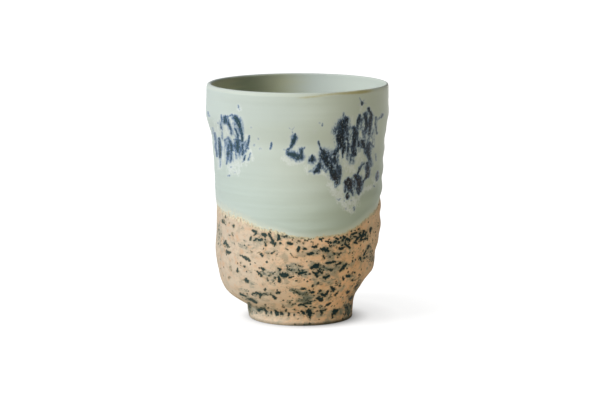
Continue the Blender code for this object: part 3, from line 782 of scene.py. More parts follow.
# Runs on the side that faces the lens, placed like the chips of grit
RUNS = [
    # left group: an arch
    (0.7, (-30.3, 91.4, 0.3), (-28.8, 92.2, 0.4), (-27.4, 91.6, 0.6)),
    (1, (-27.4, 90.8, 0.9), (-26.3, 89.8, 1), (-25.5, 88, 0.95), (-24.9, 85.8, 0.75)),
    (0.95, (-24.9, 85.8, 0.7), (-24.4, 83.5, 0.55), (-24.2, 80.8, 0.5)),
    (1, (-31.5, 91, 0.75), (-31.2, 89.4, 1)),
    (0.95, (-30.6, 89, 0.6), (-29.7, 87.4, 0.55), (-29.2, 85.8, 0.5)),
    (0.75, (-29.2, 85.8, 0.45), (-28.9, 83.8, 0.4)),
    (0.65, (-33.2, 92.2, 0.25), (-33.1, 90.2, 0.35), (-33.3, 88, 0.45), (-33.4, 86, 0.4)),
    (0.6, (-32.7, 90, 0.4), (-31.8, 90.8, 0.4)), (0.55, (-33, 84.6, 0.35), (-32.6, 81.6, 0.35)),
    (0.75, (-27.5, 86.2, 0.35), (-26.8, 85, 0.45), (-26.1, 83, 0.55)),
    (0.6, (-26.4, 83, 0.8), (-26.2, 81.6, 0.6)), (0.45, (-34.6, 88.6, 0.4)),
    (0.45, (-39, 93.4, 0.35), (-38.4, 91.6, 0.4)), (0.38, (-37, 86.4, 0.4), (-36.5, 84, 0.4)),
    # left group: drips below the arch
   
    (0.72, (-35.9, 84.2, 0.3), (-35.6, 82.2, 0.45), (-35.2, 80, 0.45), (-35.3, 78, 0.4),
     (-34.8, 76, 0.4), (-34.7, 74, 0.3)),
    (1, (-34, 81.8, 0.4), (-33.8, 80, 0.5), (-33.4, 78, 0.65), (-33.4, 75.8, 0.55),
     (-33.4, 73.6, 0.4)),
    (0.45, (-33.3, 73, 0.4), (-33.4, 69.4, 0.35)),
    (0.62, (-31.6, 81, 0.45), (-30.3, 82.2, 0.55), (-29.6, 80.8, 0.6)),
    (0.9, (-29.4, 80.4, 0.6), (-28.7, 78.6, 0.75), (-28.4, 76.6, 0.7)),
    (0.85, (-29.8, 79, 0.6), (-30.1, 77, 0.6), (-29.9, 75, 0.62)),
    (0.72, (-29.9, 75, 0.6), (-30.1, 73, 0.55), (-30.6, 70.8, 0.4)),
    (0.72, (-28.6, 76.4, 0.7), (-28.6, 73.6, 0.7), (-29, 71.8, 0.5)),
    (0.85, (-24.2, 79, 0.6), (-23.8, 76.8, 0.75), (-24, 74.8, 0.5)),
    (0.6, (-22.7, 80.4, 0.5), (-22, 77.6, 0.6)),
    (0.85, (-26.2, 80.2, 1.2), (-26, 78.2, 1.6), (-25.7, 76.4, 1.3)),
    (0.75, (-27.6, 81.3, 0.4), (-25.6, 81.1, 0.5), (-24.3, 80.6, 0.4)),
    (0.62, (-24.5, 79.4, 0.3), (-24.5, 76, 0.3)), (0.52, (-27, 75, 0.8), (-25.4, 74, 0.9)),
    (0.8, (-21.4, 83, 0.28), (-21.4, 81, 0.4), (-21.9, 79, 0.5)),
    (0.5, (-24, 80.2, 0.3), (-22.4, 80, 0.3)), (0.62, (-22.4, 78.2, 0.32), (-22.7, 76.4, 0.3)),
    (0.72, (-22.8, 74.2, 0.4), (-23.3, 72.6, 0.42)), (0.4, (-23.4, 72.4, 0.4), (-24, 71.6, 0.35)),
    (0.62, (-20.8, 75.4, 0.3), (-21.1, 73.5, 0.34), (-21.6, 72.3, 0.3)),
    # left group: blue mist between the drips
    (0.5, (-31.6, 90.4, 1.2)), (0.5, (-26.6, 88.6, 1.4), (-25.6, 85, 1.1)),
    (0.52, (-30.2, 80, 1.5), (-29.2, 73, 1.4)), (0.52, (-26, 77.6, 1.9), (-25.7, 74.6, 1.5)),
    (0.44, (-34.2, 80, 0.9), (-34, 75, 0.9)), (0.44, (-22.2, 80.4, 0.8), (-22.8, 76.4, 0.7)),
    (0.46, (-29.6, 87.4, 0.9), (-28.6, 83.6, 0.8)), (0.44, (-33.2, 89, 0.8), (-33.2, 86, 0.7)),
    # small spots, left to centre
    (0.5, (-26, 96.2, 0.36), (-25.9, 95.4, 0.36)), (0.4, (-25.5, 94.5, 0.28)),
    (0.4, (-19.1, 79, 0.5)), (0.42, (-16.6, 77.3, 0.5)), (0.32, (-17.6, 81.6, 0.5)),
    (0.32, (-20.6, 86.6, 0.4)), (0.4, (-30, 65.5, 0.36), (-29.2, 65.5, 0.36)),
    (0.38, (-28.7, 69.3, 0.36)), (0.32, (-27.1, 66.8, 0.4)),
    (0.62, (-11.8, 80, 0.3), (-12, 78.6, 0.4), (-12.3, 77.2, 0.34)), (0.36, (-6.6, 77, 0.4)),
    (0.48, (9.6, 88.4, 0.3), (9.6, 87.5, 0.32)), (0.34, (6.3, 84.7, 0.4)), (0.34, (8.5, 88.6, 0.4)),
    # centre: a comma
    (1, (-1.9, 83.6, 0.4), (-2, 82.3, 0.9), (-2.5, 81, 0.9), (-2.8, 80, 0.75)),
    (0.85, (-2.9, 79.8, 0.55), (-3.4, 78.8, 0.52), (-3.8, 78, 0.5)),
    (0.8, (-4.2, 77.8, 0.36), (-5.1, 76.6, 0.5), (-4.9, 75.4, 0.55)),
    (1, (-4.6, 75.1, 0.8), (-3.3, 74.8, 1.1), (-2, 74.2, 1.3), (-0.6, 73.7, 1.3), (0.5, 73.7, 1.1)),
    (0.9, (0.6, 74.2, 0.75), (0.8, 75.4, 0.7), (0.5, 76.9, 0.75)),
    (0.55, (1.5, 77, 0.3), (2.2, 77.9, 0.28)),
    (0.36, (-3, 84.4, 0.25), (-3.3, 85.4, 0.2), (-4.5, 86.5, 0.18)),
    (0.34, (-3.3, 85.4, 0.18), (-2.2, 86.8, 0.18)), (0.6, (-2.3, 82, 1.1), (-2.8, 80.2, 0.9)),
    (0.58, (-4.4, 76.4, 0.9), (-3.6, 75.2, 1.1)), (0.6, (-2.2, 74.6, 1.4), (-0.2, 74.2, 1.3)),
    # right group: blue mist between the drips
    (0.6, (11.4, 74.4, 2.2), (12.4, 70.8, 2)), (0.55, (15.4, 73.6, 1.2), (15.6, 70, 1.4)),
    (0.6, (14.4, 68.4, 1.7), (15.4, 64.6, 1.5)), (0.55, (7.8, 69.6, 1), (9.6, 69.4, 0.9)),
    (0.52, (20, 83.6, 1.5), (20.4, 77, 1.3)), (0.55, (22.8, 84.6, 1.4), (22.4, 76.6, 1.3)),
    (0.5, (24.4, 82, 1.1), (25, 77.6, 1.2)), (0.54, (26.2, 90.4, 1), (26, 86.4, 1)),
    (0.52, (28.8, 92.6, 1.1), (28.9, 84, 1.2)), (0.56, (27, 80, 1.6), (28.4, 76.6, 1.5)),
    (0.38, (30.8, 86, 0.9), (30.6, 79, 0.9)), (0.55, (20.4, 62.2, 1.5), (21.2, 59.8, 1.2)),
    (0.55, (24.4, 63.4, 1.6), (24.8, 60, 1.3)), (0.5, (28.2, 70.6, 1.1), (28.6, 66.4, 1)),
    (0.44, (25.4, 68.6, 0.9), (26.6, 70.6, 0.8)), (0.46, (29.4, 75.6, 0.9), (29.6, 70.4, 0.9)),
    (0.46, (22.8, 62.4, 0.9), (22.6, 57.6, 0.8)), (0.55, (20.6, 75.4, 1.4), (21.4, 72, 1.3)),
    # right group: twig and lower left mass
    (0.85, (7.9, 80.6, 0.28), (8.2, 79.4, 0.36), (8.7, 77.6, 0.45), (9.3, 76.4, 0.5)),
    (1, (9.9, 75.6, 1.1), (10.5, 74, 1.7), (10.9, 72.2, 1.7), (11.7, 70.8, 1.3)),
    (0.75, (12.4, 75.2, 1), (13, 73, 1.2), (13.8, 71.4, 1.2)),
    (0.92, (14.6, 75, 0.8), (15.4, 76.4, 0.6)), (0.85, (14.6, 73.4, 1), (14.9, 71.2, 1)),
    (0.95, (5.1, 74.4, 0.4), (5.3, 73.2, 0.9), (5.3, 72.3, 1.25)),
    (0.85, (4.2, 72, 0.4), (6.5, 72.2, 0.42)),
    (1, (8.4, 70.6, 0.7), (8, 69.4, 1.1), (7.3, 68, 1), (6.4, 67.2, 0.7)),
    (0.66, (8.2, 69.6, 0.5), (9.8, 69, 0.5), (10.6, 68, 0.45), (11.4, 66.8, 0.4)),
    (0.44, (6, 67.6, 0.5), (4.2, 67.4, 0.5)), (0.5, (9, 70, 0.3), (10.4, 70.6, 0.36)),
    (1, (12.9, 70, 0.9), (13.3, 68.2, 1.3), (14.4, 66.4, 1.6), (15.3, 64.6, 1.4)),
    (0.8, (16, 69.6, 1), (16.5, 67.4, 1.1), (16, 65.4, 1.1)),
    (0.85, (15.6, 64.4, 1), (15.6, 62.6, 0.9)), (0.6, (15.6, 62.6, 0.85), (15.3, 60.6, 0.5)),
    # right group: the broad upper mass
    (0.6, (18.6, 93, 0.25), (18.7, 91.6, 0.4)),
    (1, (19.5, 90.2, 1), (18.8, 88.6, 1.6), (18.1, 86.6, 2), (17.5, 84.6, 2.1)),
    (1, (17.5, 84.6, 2.1), (17.2, 82.6, 1.9), (17.4, 80.4, 1.6), (17.5, 79, 1.2)),
    (0.9, (17.5, 78.6, 0.9), (16.1, 77.2, 0.7), (15.6, 76.2, 0.6)),
    (0.95, (18.6, 79.4, 1), (18.5, 77.2, 0.8), (18.2, 75.6, 0.5)),
    (0.6, (18.2, 75.6, 0.45), (18, 73.4, 0.3)), (0.5, (16.4, 89, 0.4)),
    (0.8, (20, 82, 0.6), (20.5, 79.4, 0.65), (20.2, 76.6, 0.6)),
    (0.55, (20.2, 83.8, 0.3), (22.2, 83.6, 0.3)),
    (1, (23.1, 86.2, 0.75), (23.4, 84, 1.15), (23.3, 82, 1.15), (22.9, 80, 1), (22.5, 78.2, 0.9)),
    (0.8, (25.4, 92, 0.42), (25.3, 90.6, 0.75), (24.9, 89.2, 0.8)),
    (0.8, (24.8, 88.8, 0.7), (24.4, 86.6, 0.6)),
    (0.95, (22.4, 78, 0.85), (22.2, 76, 0.75), (21.9, 74, 0.6)),
    (0.52, (21.9, 74, 0.6), (21.7, 71, 0.4)), (0.7, (23.6, 77.6, 0.5), (23.4, 74.6, 0.45)),
    (1, (27.8, 92.6, 0.65), (28, 90.8, 0.85)),
    (0.92, (28.1, 90.4, 0.85), (28.2, 87.6, 0.85), (28, 84.6, 0.7)),
    (1, (29.2, 95, 0.42), (29.6, 93.8, 0.5), (30.3, 92, 0.65), (30, 90, 0.6)),
    (0.92, (29.8, 89.4, 0.65), (29.7, 86.4, 0.7), (29.5, 84, 0.6)),
    (0.46, (29.5, 84, 0.5), (29.2, 81.4, 0.45), (29.1, 79.8, 0.6)),
    (0.52, (26.3, 88.2, 0.36), (26.3, 85.8, 0.36)), (0.5, (27, 85, 0.8), (27.2, 82.4, 0.6)),
    (0.95, (29, 79.4, 0.85), (28.8, 77.8, 0.95), (28.6, 76.2, 0.8)),
    (0.9, (26.4, 80.6, 0.7), (26.9, 78.8, 0.85)), (0.85, (24.8, 80.2, 0.6), (24.8, 78.4, 0.7)),
    (0.85, (26.4, 78.2, 0.6), (27.8, 77.4, 0.6)),
    (0.9, (28.4, 76.4, 0.9), (28.8, 74.6, 0.8), (29.4, 73, 0.6)),
    (0.75, (27.6, 77, 0.7), (27.8, 74.8, 0.6)), (0.72, (30.3, 78.9, 0.4), (30.9, 78.3, 0.4)),
    (0.62, (32.4, 91, 0.36), (32.2, 88, 0.42), (32.4, 85.8, 0.36)),
    (0.72, (32.3, 85.8, 0.28), (32.6, 84, 0.42)),
    (0.56, (35.1, 92.3, 0.4), (34.6, 91.3, 0.42), (33.2, 90.2, 0.3)),
    (0.7, (26.4, 97.6, 0.45), (26.3, 96.8, 0.42)), (0.42, (26.4, 97.8, 0.3), (27.8, 98.9, 0.16)),
    (0.42, (26.2, 97.9, 0.26), (25.3, 99.6, 0.16)), (0.4, (26.6, 97.4, 0.26), (28.2, 97, 0.16)),
    (0.38, (26, 97.2, 0.26), (24.7, 96.6, 0.16)),
    # right group: lower drips
    (1, (20.6, 63.6, 0.9), (20.8, 62.2, 1.25), (21, 60.6, 1.1)),
    (0.9, (19.2, 62.8, 0.65), (19.4, 61.4, 0.5)), (0.7, (19.4, 60.6, 0.6), (19.2, 58.6, 0.55)),
    (0.85, (21.2, 60.2, 0.9), (21.6, 58.6, 0.75)),
    (1, (23.3, 65.3, 0.7), (24.5, 64.4, 1.05), (24.9, 62.6, 1.25), (25, 61, 1.1)),
    (0.9, (24.9, 60.6, 1), (24.7, 58.8, 0.85), (24.5, 57.6, 0.5)),
    (0.75, (22.8, 63.2, 0.4), (22.8, 61, 0.4)),
    (0.85, (26.5, 62.4, 0.28), (27.2, 64, 0.32), (28.2, 65, 0.5)),
    (1, (28.3, 65.2, 0.6), (28.5, 67, 0.75), (28.4, 69, 0.75), (28.2, 71, 0.5)),
    (0.75, (23.5, 65, 0.36), (24.5, 67, 0.45), (25.2, 68.6, 0.6), (26, 70, 0.45),
     (27.2, 70.8, 0.36)),
    (0.7, (29.8, 72.2, 0.5), (29.6, 69.8, 0.5)),
    (0.92, (32.7, 67.3, 0.26), (32.5, 65.5, 0.5), (32.2, 63.5, 0.34)), (0.4, (31.3, 61, 0.4)),
    (0.36, (31.9, 75, 0.34), (32, 72, 0.34)),
    (1, (20, 57.8, 0.36), (20, 56.6, 0.65), (20, 55.4, 0.42)),
    (0.52, (18.6, 56, 0.28), (18.6, 54.5, 0.28)), (0.52, (22, 58.3, 0.36), (22, 57, 0.32)),
    (0.48, (21.7, 54.5, 0.34)), (0.58, (22.8, 51.6, 0.34), (22.8, 50.3, 0.34)),
    (0.42, (19.4, 51, 0.36)), (0.42, (15.5, 55.4, 0.25), (16.4, 54.8, 0.28), (17.1, 55.5, 0.25)),
]
# Milky crystals round and below the runs, and pale streaks between them, in the same way
HALOES = [
    (0.8, (-31, 87, 1.5), (-30.6, 84, 1.4)),
    (1, (-29.2, 91, 0.4), (-28.6, 88, 0.4), (-28.3, 84, 0.42)),
    (0.95, (-34.6, 80.5, 0.3), (-34.5, 76.5, 0.35)), (0.95, (-32.2, 80, 0.45), (-32.2, 72.5, 0.5)),
    (0.95, (-27.9, 80.2, 0.3), (-27.8, 76, 0.35)), (0.85, (-33.5, 71.5, 1), (-33.4, 69, 0.8)),
    (0.95, (-28, 71.5, 1.6), (-26.4, 70.8, 1.6)), (0.95, (-28.6, 68.4, 1.5), (-26, 67.4, 1.3)),
    (0.9, (-23.4, 78.4, 0.45), (-23.6, 75.4, 0.4)), (0.8, (-24.4, 72.6, 1), (-22.4, 71, 1)),
    (0.7, (-21.2, 77.4, 0.6), (-19.6, 72.6, 0.8)), (0.7, (-23, 83, 0.8), (-22.6, 81.4, 0.6)),
    (0.6, (-35.4, 89, 1), (-34.6, 84, 0.8)), (0.7, (-25.6, 94.6, 0.8)),
    (0.95, (-6.6, 72.6, 1), (-4.6, 71.6, 1.3), (-1.8, 71.2, 1), (1.6, 71.6, 0.6)),
    (0.9, (-4, 77, 0.4), (-3.6, 76.6, 0.4)), (0.85, (-1.8, 75.8, 0.4)),
    (0.6, (-1, 79, 0.8), (-1.2, 77.4, 0.6)), (0.6, (2.6, 69.8, 0.8), (3, 66.6, 0.8)),
    (0.7, (5, 66.6, 0.7), (10, 66.8, 0.8), (13, 64, 0.8)), (0.6, (6.8, 74.8, 0.7), (7.4, 72, 0.5)),
    (1, (12.6, 62, 0.9), (14.4, 58.4, 1.1), (16.6, 55.4, 1.2), (19, 52.4, 1.2), (21.8, 49.8, 1)),
    (0.85, (17.4, 60.4, 0.9), (17.6, 57, 1), (20, 53.6, 1.4), (22.6, 54.6, 1.2)),
    (0.65, (20, 72, 0.9), (20.4, 70, 1.2), (21.4, 67.4, 1.4)),
    (0.55, (26, 74.6, 0.9), (25.9, 72.8, 0.9)), (0.7, (26, 83.2, 0.8), (27.8, 82, 0.7)),
    (0.8, (20.9, 82.6, 0.3), (21.1, 80, 0.36)), (0.75, (21.4, 78.4, 0.3), (21.6, 76.6, 0.3)),
    (0.65, (16.8, 76, 0.5), (17, 72.4, 0.6)), (0.6, (26.8, 67.6, 0.6), (27.2, 66, 0.5)),
    (0.7, (23.1, 60.4, 0.36), (23.2, 57.4, 0.5)), (0.6, (30.6, 64.6, 0.8), (31.6, 62.2, 0.9)),
    (0.6, (26, 95.8, 0.8), (26, 94.4, 0.6)), (0.6, (22, 90.6, 0.8), (22, 87.4, 0.7)),
    (0.75, (18.9, 76, 0.5), (19.5, 70, 0.9)), (0.8, (21.4, 71.4, 0.7), (22.6, 66.8, 0.9)),
    (0.65, (25.6, 75, 0.8), (25.3, 71.4, 0.8)), (0.9, (27.4, 69.4, 0.5), (27, 66, 0.6)),
    (0.6, (23.6, 70.4, 0.8), (24.4, 72.6, 0.7)),
    (0.9, (23.4, 53.8, 0.7), (24.8, 56.8, 0.7), (26.8, 59.4, 0.8), (29.6, 60.4, 0.8)),
    (0.5, (31.2, 88, 0.6), (31, 80, 0.6)), (0.55, (24, 52.6, 1), (24.8, 55.4, 0.8)),
]
# Groups of the front that come again behind, in millimetres: the places across between which
# a group starts, where 0 goes, how far it is drawn out, mirrored if negative, and its lift
FAR_GROUPS = (
    (2, 36, 33, -1.2, -2),
    (-36, -19, 8, -1.3, 1),
    (-6, 3, -44, 1.3, 3),
    (-36, -19, -60, -1.2, -5),
)


def far_side(lines):
    """The front's groups again for the sides that face away, by the same hand: each is mirrored or
    moved, drawn out along the wall and lifted."""
    moved = []
    for low, high, start, draw, lift in FAR_GROUPS:
        for strength, *points in lines:
            if low < points[0][0] < high:
                moved.append((strength, *[(start + draw * x, z + lift, w) for x, z, w in points]))
    return moved


def green_glaze(name, lit_side_tone, shade_side_tone):
    """The glaze both coats are of: a satin green-grey, cloudy, with faint rings of the wheel, and a
    lit and a shaded tone: lighter and warmer towards +X, the side in shade, as painted warm fill
    light."""
    glaze = Finish(name, {"Specular IOR Level": 0.12})
    cloud = glaze.noise(16.0, 3.0)
    rings = glaze.noise(30.0, 3.0, (1, 1, 26.0))
    fine = glaze.noise(0.7, 3.0)
    # Painted warm fill light: the glaze grows lighter and warmer towards +X, the side in shade.
    shade_side_tint = (glaze.along("X") + (cloud - 0.5) * 20.0).over(-34.0, 34.0)
    body = glaze.blend(shade_side_tint, lit_side_tone, shade_side_tone)
    body = glaze.blend(rings.over(0.45, 0.75) * 0.08, body, tone(201, 206, 195))
    return glaze, body, fine, rings


def lip_stained(glaze, body, fine, rings):
    """The glaze with iron showing through along the lip, broken up by rings and grain."""
    stain = (glaze.mark("lip_stain") * (rings + 0.55) + (fine - 0.5) * 0.3).over(0.12, 0.95)
    return glaze.blend(stain * 0.78, body, tone(180, 170, 112))


def run_glaze(name):
    """The dipped glaze with its runs: deeper above the dip line, with painted shade below the lip
    on the left.
    The painted field, frayed by noise drawn out downwards, is cut at rising levels: milky halo,
    blue rim, slate core, and pale crystals in the core."""
    glaze, body, fine, rings = green_glaze(name, tone(196, 209, 208), tone(203, 214, 207))
    across, up = glaze.along("X"), glaze.along("Z")
    left = across.over(16.0, -10.0)
    fibre = glaze.noise(1.2, 2.0, (1, 1, 0.4))
    crumb = glaze.noise(0.6, 2.0, (1, 1, 0.7))
    torn = (fibre - 0.5) * 1.5 + (crumb - 0.5) * 1.3
    reach = glaze.mark("edge_reach")
    thick = reach.over(1.0, 4.0) * reach.over(34.0, 6.0)
    deep = glaze.blend(across.over(-20.0, 20.0), tone(187, 202, 199), tone(180, 195, 185))
    body = glaze.blend(thick * 0.8, body, deep)
    # Painted shade: the glaze below the lip on the left is darkened and greyed.
    painted_shade_band = up.over(84.0, 90.0) * up.over(101.0, 95.0)
    painted_shade_band = painted_shade_band * across.over(8.0, -10.0) * across.over(-36.0, -24.0)
    body = glaze.blend(painted_shade_band * 0.75, body, tone(188, 200, 198))
    body = fringed(glaze, clay_tones(glaze)[0], body)
    body = lip_stained(glaze, body, fine, rings)
    milk = glaze.mark("halo")
    halo = (milk + torn * 1.1 * milk.over(0.03, 0.4)).over(0.15, 0.95) * crumb.over(0.15, 0.60)
    painted = glaze.mark("run")
    veil = painted.math("POWER", painted, 0.2).over(0.25, 0.95)
    body = glaze.blend(veil * 0.55, body, tone(206, 215, 216))
    body = glaze.blend(halo * (0.92 - left * 0.37), body, tone(224, 232, 236))
    run = painted + torn * painted.over(0.03, 0.35) * (0.80 - left * 0.18)
    haze = run.over(0.08, 0.40)
    blue = (run - left * 0.03).over(0.26, 0.66)
    slate = (run - left * 0.03).over(0.46, 0.86)
    body = glaze.blend(haze * 0.62, body, tone(140, 163, 188))
    rim = glaze.blend(left, tone(67, 90, 126), tone(70, 104, 150))
    body = glaze.blend(blue * 0.82, body, rim)
    core = glaze.blend(left, tone(6, 16, 20), tone(46, 70, 78))
    core = glaze.blend(up.over(68.0, 62.0) * 0.7, core, tone(36, 28, 20))
    vein = glaze.noise(0.8, 2.0, (1, 1, 0.35)).over(0.52, 0.68)
    core = glaze.blend(vein * 0.6, core, glaze.blend(left, tone(46, 72, 94), tone(66, 100, 140)))
    body = glaze.blend(slate * 0.97, body, core)
    crystal = crumb.over(0.58, 0.66) * fibre.over(0.44, 0.56) * slate
    body = glaze.blend(crystal * 0.55, body, tone(176, 192, 204))
    crust = fine * 0.35 + slate * crumb * 0.8 + halo * crumb * 0.5
    return glaze.dress({
        "Base Color": body,
        "Roughness": 0.52 - slate * 0.12,
        "Normal": glaze.relief(crust, 0.10 * MM, 0.7),
    })


def lip_stain(turn, height):
    """Where the glaze drew thin over the lip and the iron shows: a narrow line that starts below
    the lip in front and climbs to its edge on the right."""
    degrees = np.degrees(from_front(turn))
    broad = ease(degrees, -75, -45)
    reach = ease(degrees, -97, -84) * (0.6 + 0.5 * broad) * ease(degrees, -26, -48)
    centre = (98.1 + 1.3 * ease(degrees, -92, -62) - 0.12 * ease(degrees, -72, -50)) * MM
    width = (0.6 + 0.16 * broad) * MM
    return reach * np.exp(-((height - centre) / width) ** 2)


def coat_skin(turn, height):
    """Height of the glaze's skin above the clay: a rounded edge at the dip line that swells to the
    full coat, with a fat roll just above the edge and a fuller waist."""
    above = (height - dip_line(turn)) / MM
    nose = np.sqrt(np.clip(1 - (1 - np.clip(above / 0.9, 0, 1)) ** 2, 0, 1))
    full = COAT_EDGE * nose + (COAT / MM - COAT_EDGE) * ease(above, 0.3, 12.0)
    roll = 0.05 * np.exp(-((above - 3.0) / 1.6) ** 2)
    waist = 0.36 * ease(above, 0.2, 4.0) * ease(height / MM, 84.0, 73.0)
    return (full + roll + waist) * MM


turn = round_the_cup(480, 100)
edge_rows, wall_rows = np.linspace(0, 1, 10) ** 2 * 0.02, np.linspace(0.02, 0.9997, 142)[1:]
rise = np.concatenate([edge_rows, wall_rows, [1.0]])[:, None]
edge = dip_line(turn)
outer_level = edge + (COAT_TOP - edge) * rise
under_level = edge + (COAT_TOP - edge) * np.linspace(1.0, 0.001, 12)[:, None]
level = np.concatenate([outer_level, under_level])
is_under = np.arange(len(level))[:, None] >= len(outer_level)
on_wall = wall_radius(turn, level)
run_field = both_sides(RUNS, far_side(RUNS), on_wall + COAT, level, turn)
halo_field = both_sides(HALOES, far_side(HALOES), on_wall + COAT, level, turn)
raised = RUN_RELIEF * ease(run_field, 0.2, 0.9) * ease(level, 90 * MM, 85 * MM)
skin = np.maximum(coat_skin(turn, level) + raised, GLAZE_CLEAR)
radius = on_wall + np.where(is_under, GLAZE_CLEAR, skin)
mesh, used = rings_mesh("dipped_coat", radius, level, turn, poles=False)
mark_mesh(
    mesh,
    used,
    edge_reach=edge_reach(turn, level),
    edge_fray=edge_fray(turn, level),
    run=run_field,
    halo=halo_field,
    lip_stain=lip_stain(turn, level),
)
mesh.materials.append(run_glaze("dipped_glaze_runs"))
dipped_coat = in_scene("dipped_coat", mesh)
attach(dipped_coat, "root")
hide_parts("outer_glaze")


# --------------------------------------------------------------------------------- lining
# The same green-grey glaze, poured in, swirled round and out again. It lines the bowl and
# the inside wall, and rolls over the rounded lip to meet the dipped coat just below it.

LINING_EDGE = COAT_TOP  # how far the roll over the lip comes down outside
LIP_COAT = 0.40 * MM  # skin of the glaze on the lip
LIP_FAT = 0.42 * MM  # how much more of it gathered on the lip at -X
SEEN_ROWS = (4, 20, 100, 40)  # rings of the skirt, the roll, the wall and the bowl
HID_ROWS = (3, 8, 12, 7)


def lining_glaze(name):
    """The poured glaze: the coat's own colour, without runs, stained along the edge of the lip,
    with the olive of shade painted on the -X side of the bowl and a painted highlight on the fat
    lip there."""
    glaze, body, fine, rings = green_glaze(name, tone(200, 210, 206), tone(205, 215, 208))
    within = glaze.mark("within")
    across = glaze.along("X") + (rings - 0.5) * 8.0
    # Painted shade: an olive tint on the -X side of the inside, which lies in shadow.
    body = glaze.blend(within * across.over(9.0, -11.0), body, tone(204, 207, 177))
    # Painted highlight: the lip's inner edge at -X is made near white, as if catching light.
    body = glaze.blend(within * across.over(-22.0, -31.0), body, tone(240, 235, 202))
    return glaze.dress({
        "Base Color": lip_stained(glaze, body, fine, rings),
        "Roughness": 0.50 + rings * 0.06,
        "Normal": glaze.relief(fine, 0.05 * MM, 0.6),
    })


def lining_skin(turn, above_clay, lip_above, edge_above, fat, rows):
    """One skin of the lining from its edge outside, over the lip as a half circle, down the inside
    and along a quarter ellipse to the middle of the bowl, at a distance above the clay. Where the
    glaze gathered, the half circle is larger by fat and so starts lower and reaches further in."""
    bend = LIP_BEND - fat
    skirt = np.concatenate([[0.0], np.linspace(0.02, 1.0, rows[0], endpoint=False)])[:, None]
    skirt_above = edge_above + (lip_above - edge_above) * ease(skirt, 0.0, 1.0)
    skirt = LINING_EDGE + (bend - LINING_EDGE) * skirt
    roll = np.linspace(0, np.pi, rows[1])[:, None]
    lip_radius = LIP_THICKNESS / 2 + lip_above + fat
    wall = bend + (BOWL_TOP - bend) * np.linspace(0, 1, rows[2])[1:, None]
    wall_above = above_clay + (lip_above + 2 * fat - above_clay) * ease(bend - wall, 8 * MM, 0.0)
    bowl = np.linspace(0, np.pi / 2, rows[3])[1:, None]
    bowl_radius, bowl_level = bowl_bend(turn, bowl)
    flat = np.array([0.75, 0.45, 0.2, 0.0])[:, None]
    radius = np.concatenate([
        wall_radius(turn, skirt) + skirt_above,
        lip_middle(turn) - fat + lip_radius * np.cos(roll),
        bore_radius(turn, wall) - wall_above,
        bowl_radius - above_clay * np.cos(bowl),
        BOWL_FLAT * flat + 0 * turn,
    ])
    level = np.concatenate([
        skirt,
        bend + lip_radius * np.sin(roll),
        wall,
        bowl_level + above_clay * np.sin(bowl) + 0 * turn,
        np.full_like(flat, BOWL_FLOOR + above_clay) + 0 * turn,
    ])
    return radius, level


turn = round_the_cup(240, 160)
gathered = LIP_FAT * ease(-np.cos(turn), 0.0, 0.95)
seen_radius, seen_level = lining_skin(turn, COAT, LIP_COAT, COAT, gathered, SEEN_ROWS)
hid_radius, hid_level = lining_skin(turn, 0.05 * MM, 0.02 * MM, 0.02 * MM, 0 * turn, HID_ROWS)
radius = np.concatenate([hid_radius[::-1], seen_radius])
level = np.concatenate([hid_level[::-1], seen_level])
is_outer = radius > wall_radius(turn, LIP_BEND) - 0.45 * MM
inward = lip_middle(turn) - 2 * gathered - radius
mesh, used = rings_mesh("lining", radius, level, turn, poles=True)
mark_mesh(
    mesh,
    used,
    lip_stain=lip_stain(turn, level) * is_outer,
    within=ease(inward / MM, 0.2, 0.9),
)
mesh.materials.append(lining_glaze("poured_glaze_satin"))
lining = in_scene("lining", mesh)
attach(lining, "root")
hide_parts("liner_glaze")


# ---------------------------------------------------------------------------- white sweep
# The photographer's table: a white sheet under the cup that runs off out of sight. It is
# white to the camera by its glow, and the cup's soft shadow is painted into that glow from how
# near the cup stands, fading out further away; the lamp's own shadow shows on it only faintly.

SWEEP = 4.0  # half the sheet's side, in metres


def in_view(nodes):
    """1 for what the camera sees, straight or in gloss or glass, and 0 for light that falls."""
    rays = ("Is Camera Ray", "Is Glossy Ray", "Is Transmission Ray")
    straight, gloss, glass = [nodes.node("ShaderNodeLightPath", {}, {}, ray) for ray in rays]
    return straight.at_least(gloss).at_least(glass)


def openness(paper, distance, lean):
    """How free the sheet is of the cup within a distance, looking in the direction it leans: 1
    where nothing stands near."""
    looking = paper.node("ShaderNodeCombineXYZ", {}, dict(enumerate(lean)))
    sockets = {"Distance": distance, "Normal": looking}
    return paper.node("ShaderNodeAmbientOcclusion", {"samples": 16}, sockets, "AO")


corner_x, corner_y = np.meshgrid([-SWEEP, SWEEP], [-SWEEP, SWEEP])
corners = np.stack([corner_x.ravel(), corner_y.ravel(), np.full(4, -0.02 * MM)], axis=-1)
mesh = bpy.data.meshes.new("white_sweep")
mesh.from_pydata(corners, [], [[0, 1, 3, 2]])
paper = Finish(
    "white_paper", {"Roughness": 0.9, "Specular IOR Level": 0.0, "Emission Strength": 1.0}
)
seen = in_view(paper)
# Painted shadow: three masks of how near the cup stands darken the sheet's glow, most on the side
# away from the lamp.
shadow = openness(paper, 22.0 * MM, (-0.95, -0.30, 0.05)).over(-0.70, 0.98)
painted_contact_shadow = openness(paper, 5.0 * MM, (0, 0, 1)).over(-0.60, 0.97)
painted_close_shadow = openness(paper, 10.0 * MM, (-0.50, 0.14, 0.85)).over(-0.33, 1.0)
away = paper.node("ShaderNodeVectorMath", {"operation": "LENGTH"}, {0: paper.place}, "Value") / MM
# Painted shadow fade: the glow is a little grey near the cup and full white further out.
white = paper.blend(away.over(44.0, 74.0), (0.92, 0.92, 0.92, 1), (1, 1, 1, 1))
paper.dress({
    "Base Color": paper.blend(seen, (0.68, 0.63, 0.50, 1), (0.25, 0.25, 0.25, 1)),
    "Emission Color": paper.blend(seen * (shadow * painted_contact_shadow * painted_close_shadow), (0, 0, 0, 1), white),
})
mesh.materials.append(paper.material)
white_sweep = in_scene("white_sweep", mesh)


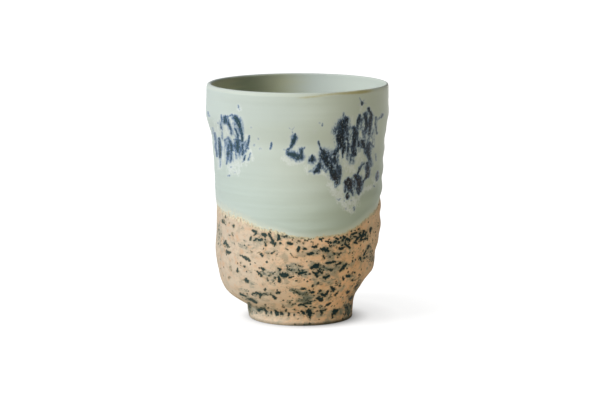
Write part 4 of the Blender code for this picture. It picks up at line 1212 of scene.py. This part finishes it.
# ----------------------------------------------------------------------- light and camera
# A large window-like lamp from the left, low reflectors in front and behind on the right
# that stay below the rim, a dim warm room, and a long lens that looks down a little.

LAMP_HEIGHT = 36  # degrees above the table
LAMP_SIDE = -150  # degrees from +X
CARD_AWAY = 0.55  # metres from the axis
# Reflectors: name, power, colour and direction from the cup in degrees
CARDS = (
    ("low_card", 0.99, (1.0, 0.95, 0.75), -86),
    ("side_card", 0.20, (1.0, 0.94, 0.78), 42),
    ("rim_card", 0.34, (0.95, 0.98, 1.0), 68),
)

light = bpy.data.lights.new("window_lamp", "SUN")
light.angle = math.radians(32)
light.energy = 2.98
lamp = in_scene("window_lamp", light)
lamp.location = (-0.5, -0.5, 0.8)
lamp.rotation_euler = (math.radians(90 - LAMP_HEIGHT), 0, math.radians(LAMP_SIDE + 90))

for name, power, colour, direction in CARDS:
    light = bpy.data.lights.new(name, "AREA")
    light.shape = "RECTANGLE"
    light.size, light.size_y = 0.9, 0.085
    light.energy = power
    light.color = colour
    card = in_scene(name, light)
    bearing = math.radians(direction)
    card.location = (CARD_AWAY * math.cos(bearing), CARD_AWAY * math.sin(bearing), 0.045)
    card.rotation_euler = (math.radians(90), 0, bearing + math.radians(90))
    card.visible_camera = False

room = bpy.data.worlds.new("room")
room.use_nodes = True
room.node_tree.nodes.clear()
bpy.context.scene.world = room
air = Nodes(room.node_tree)
dim = air.node("ShaderNodeBackground", {}, {"Color": (1.0, 0.86, 0.52, 1.0), "Strength": 0.012})
white = air.node("ShaderNodeBackground", {}, {"Color": (1, 1, 1, 1), "Strength": 1.0})
either = air.node("ShaderNodeMixShader", {}, {0: in_view(air), 1: dim, 2: white})
air.plug(air.tree.nodes.new("ShaderNodeOutputWorld").inputs["Surface"], either)

view = bpy.data.cameras.new("photo_view")
view.sensor_fit = "HORIZONTAL"
view.sensor_width = 36.0
view.lens = 143.1
view.clip_start = 0.05
camera = in_scene("photo_view", view)
camera.location = LENS_PLACE
camera.rotation_euler = (math.pi / 2 - LENS_TILT, 0, 0)
bpy.context.scene.camera = camera
bpy.context.scene.view_settings.view_transform = "Standard"
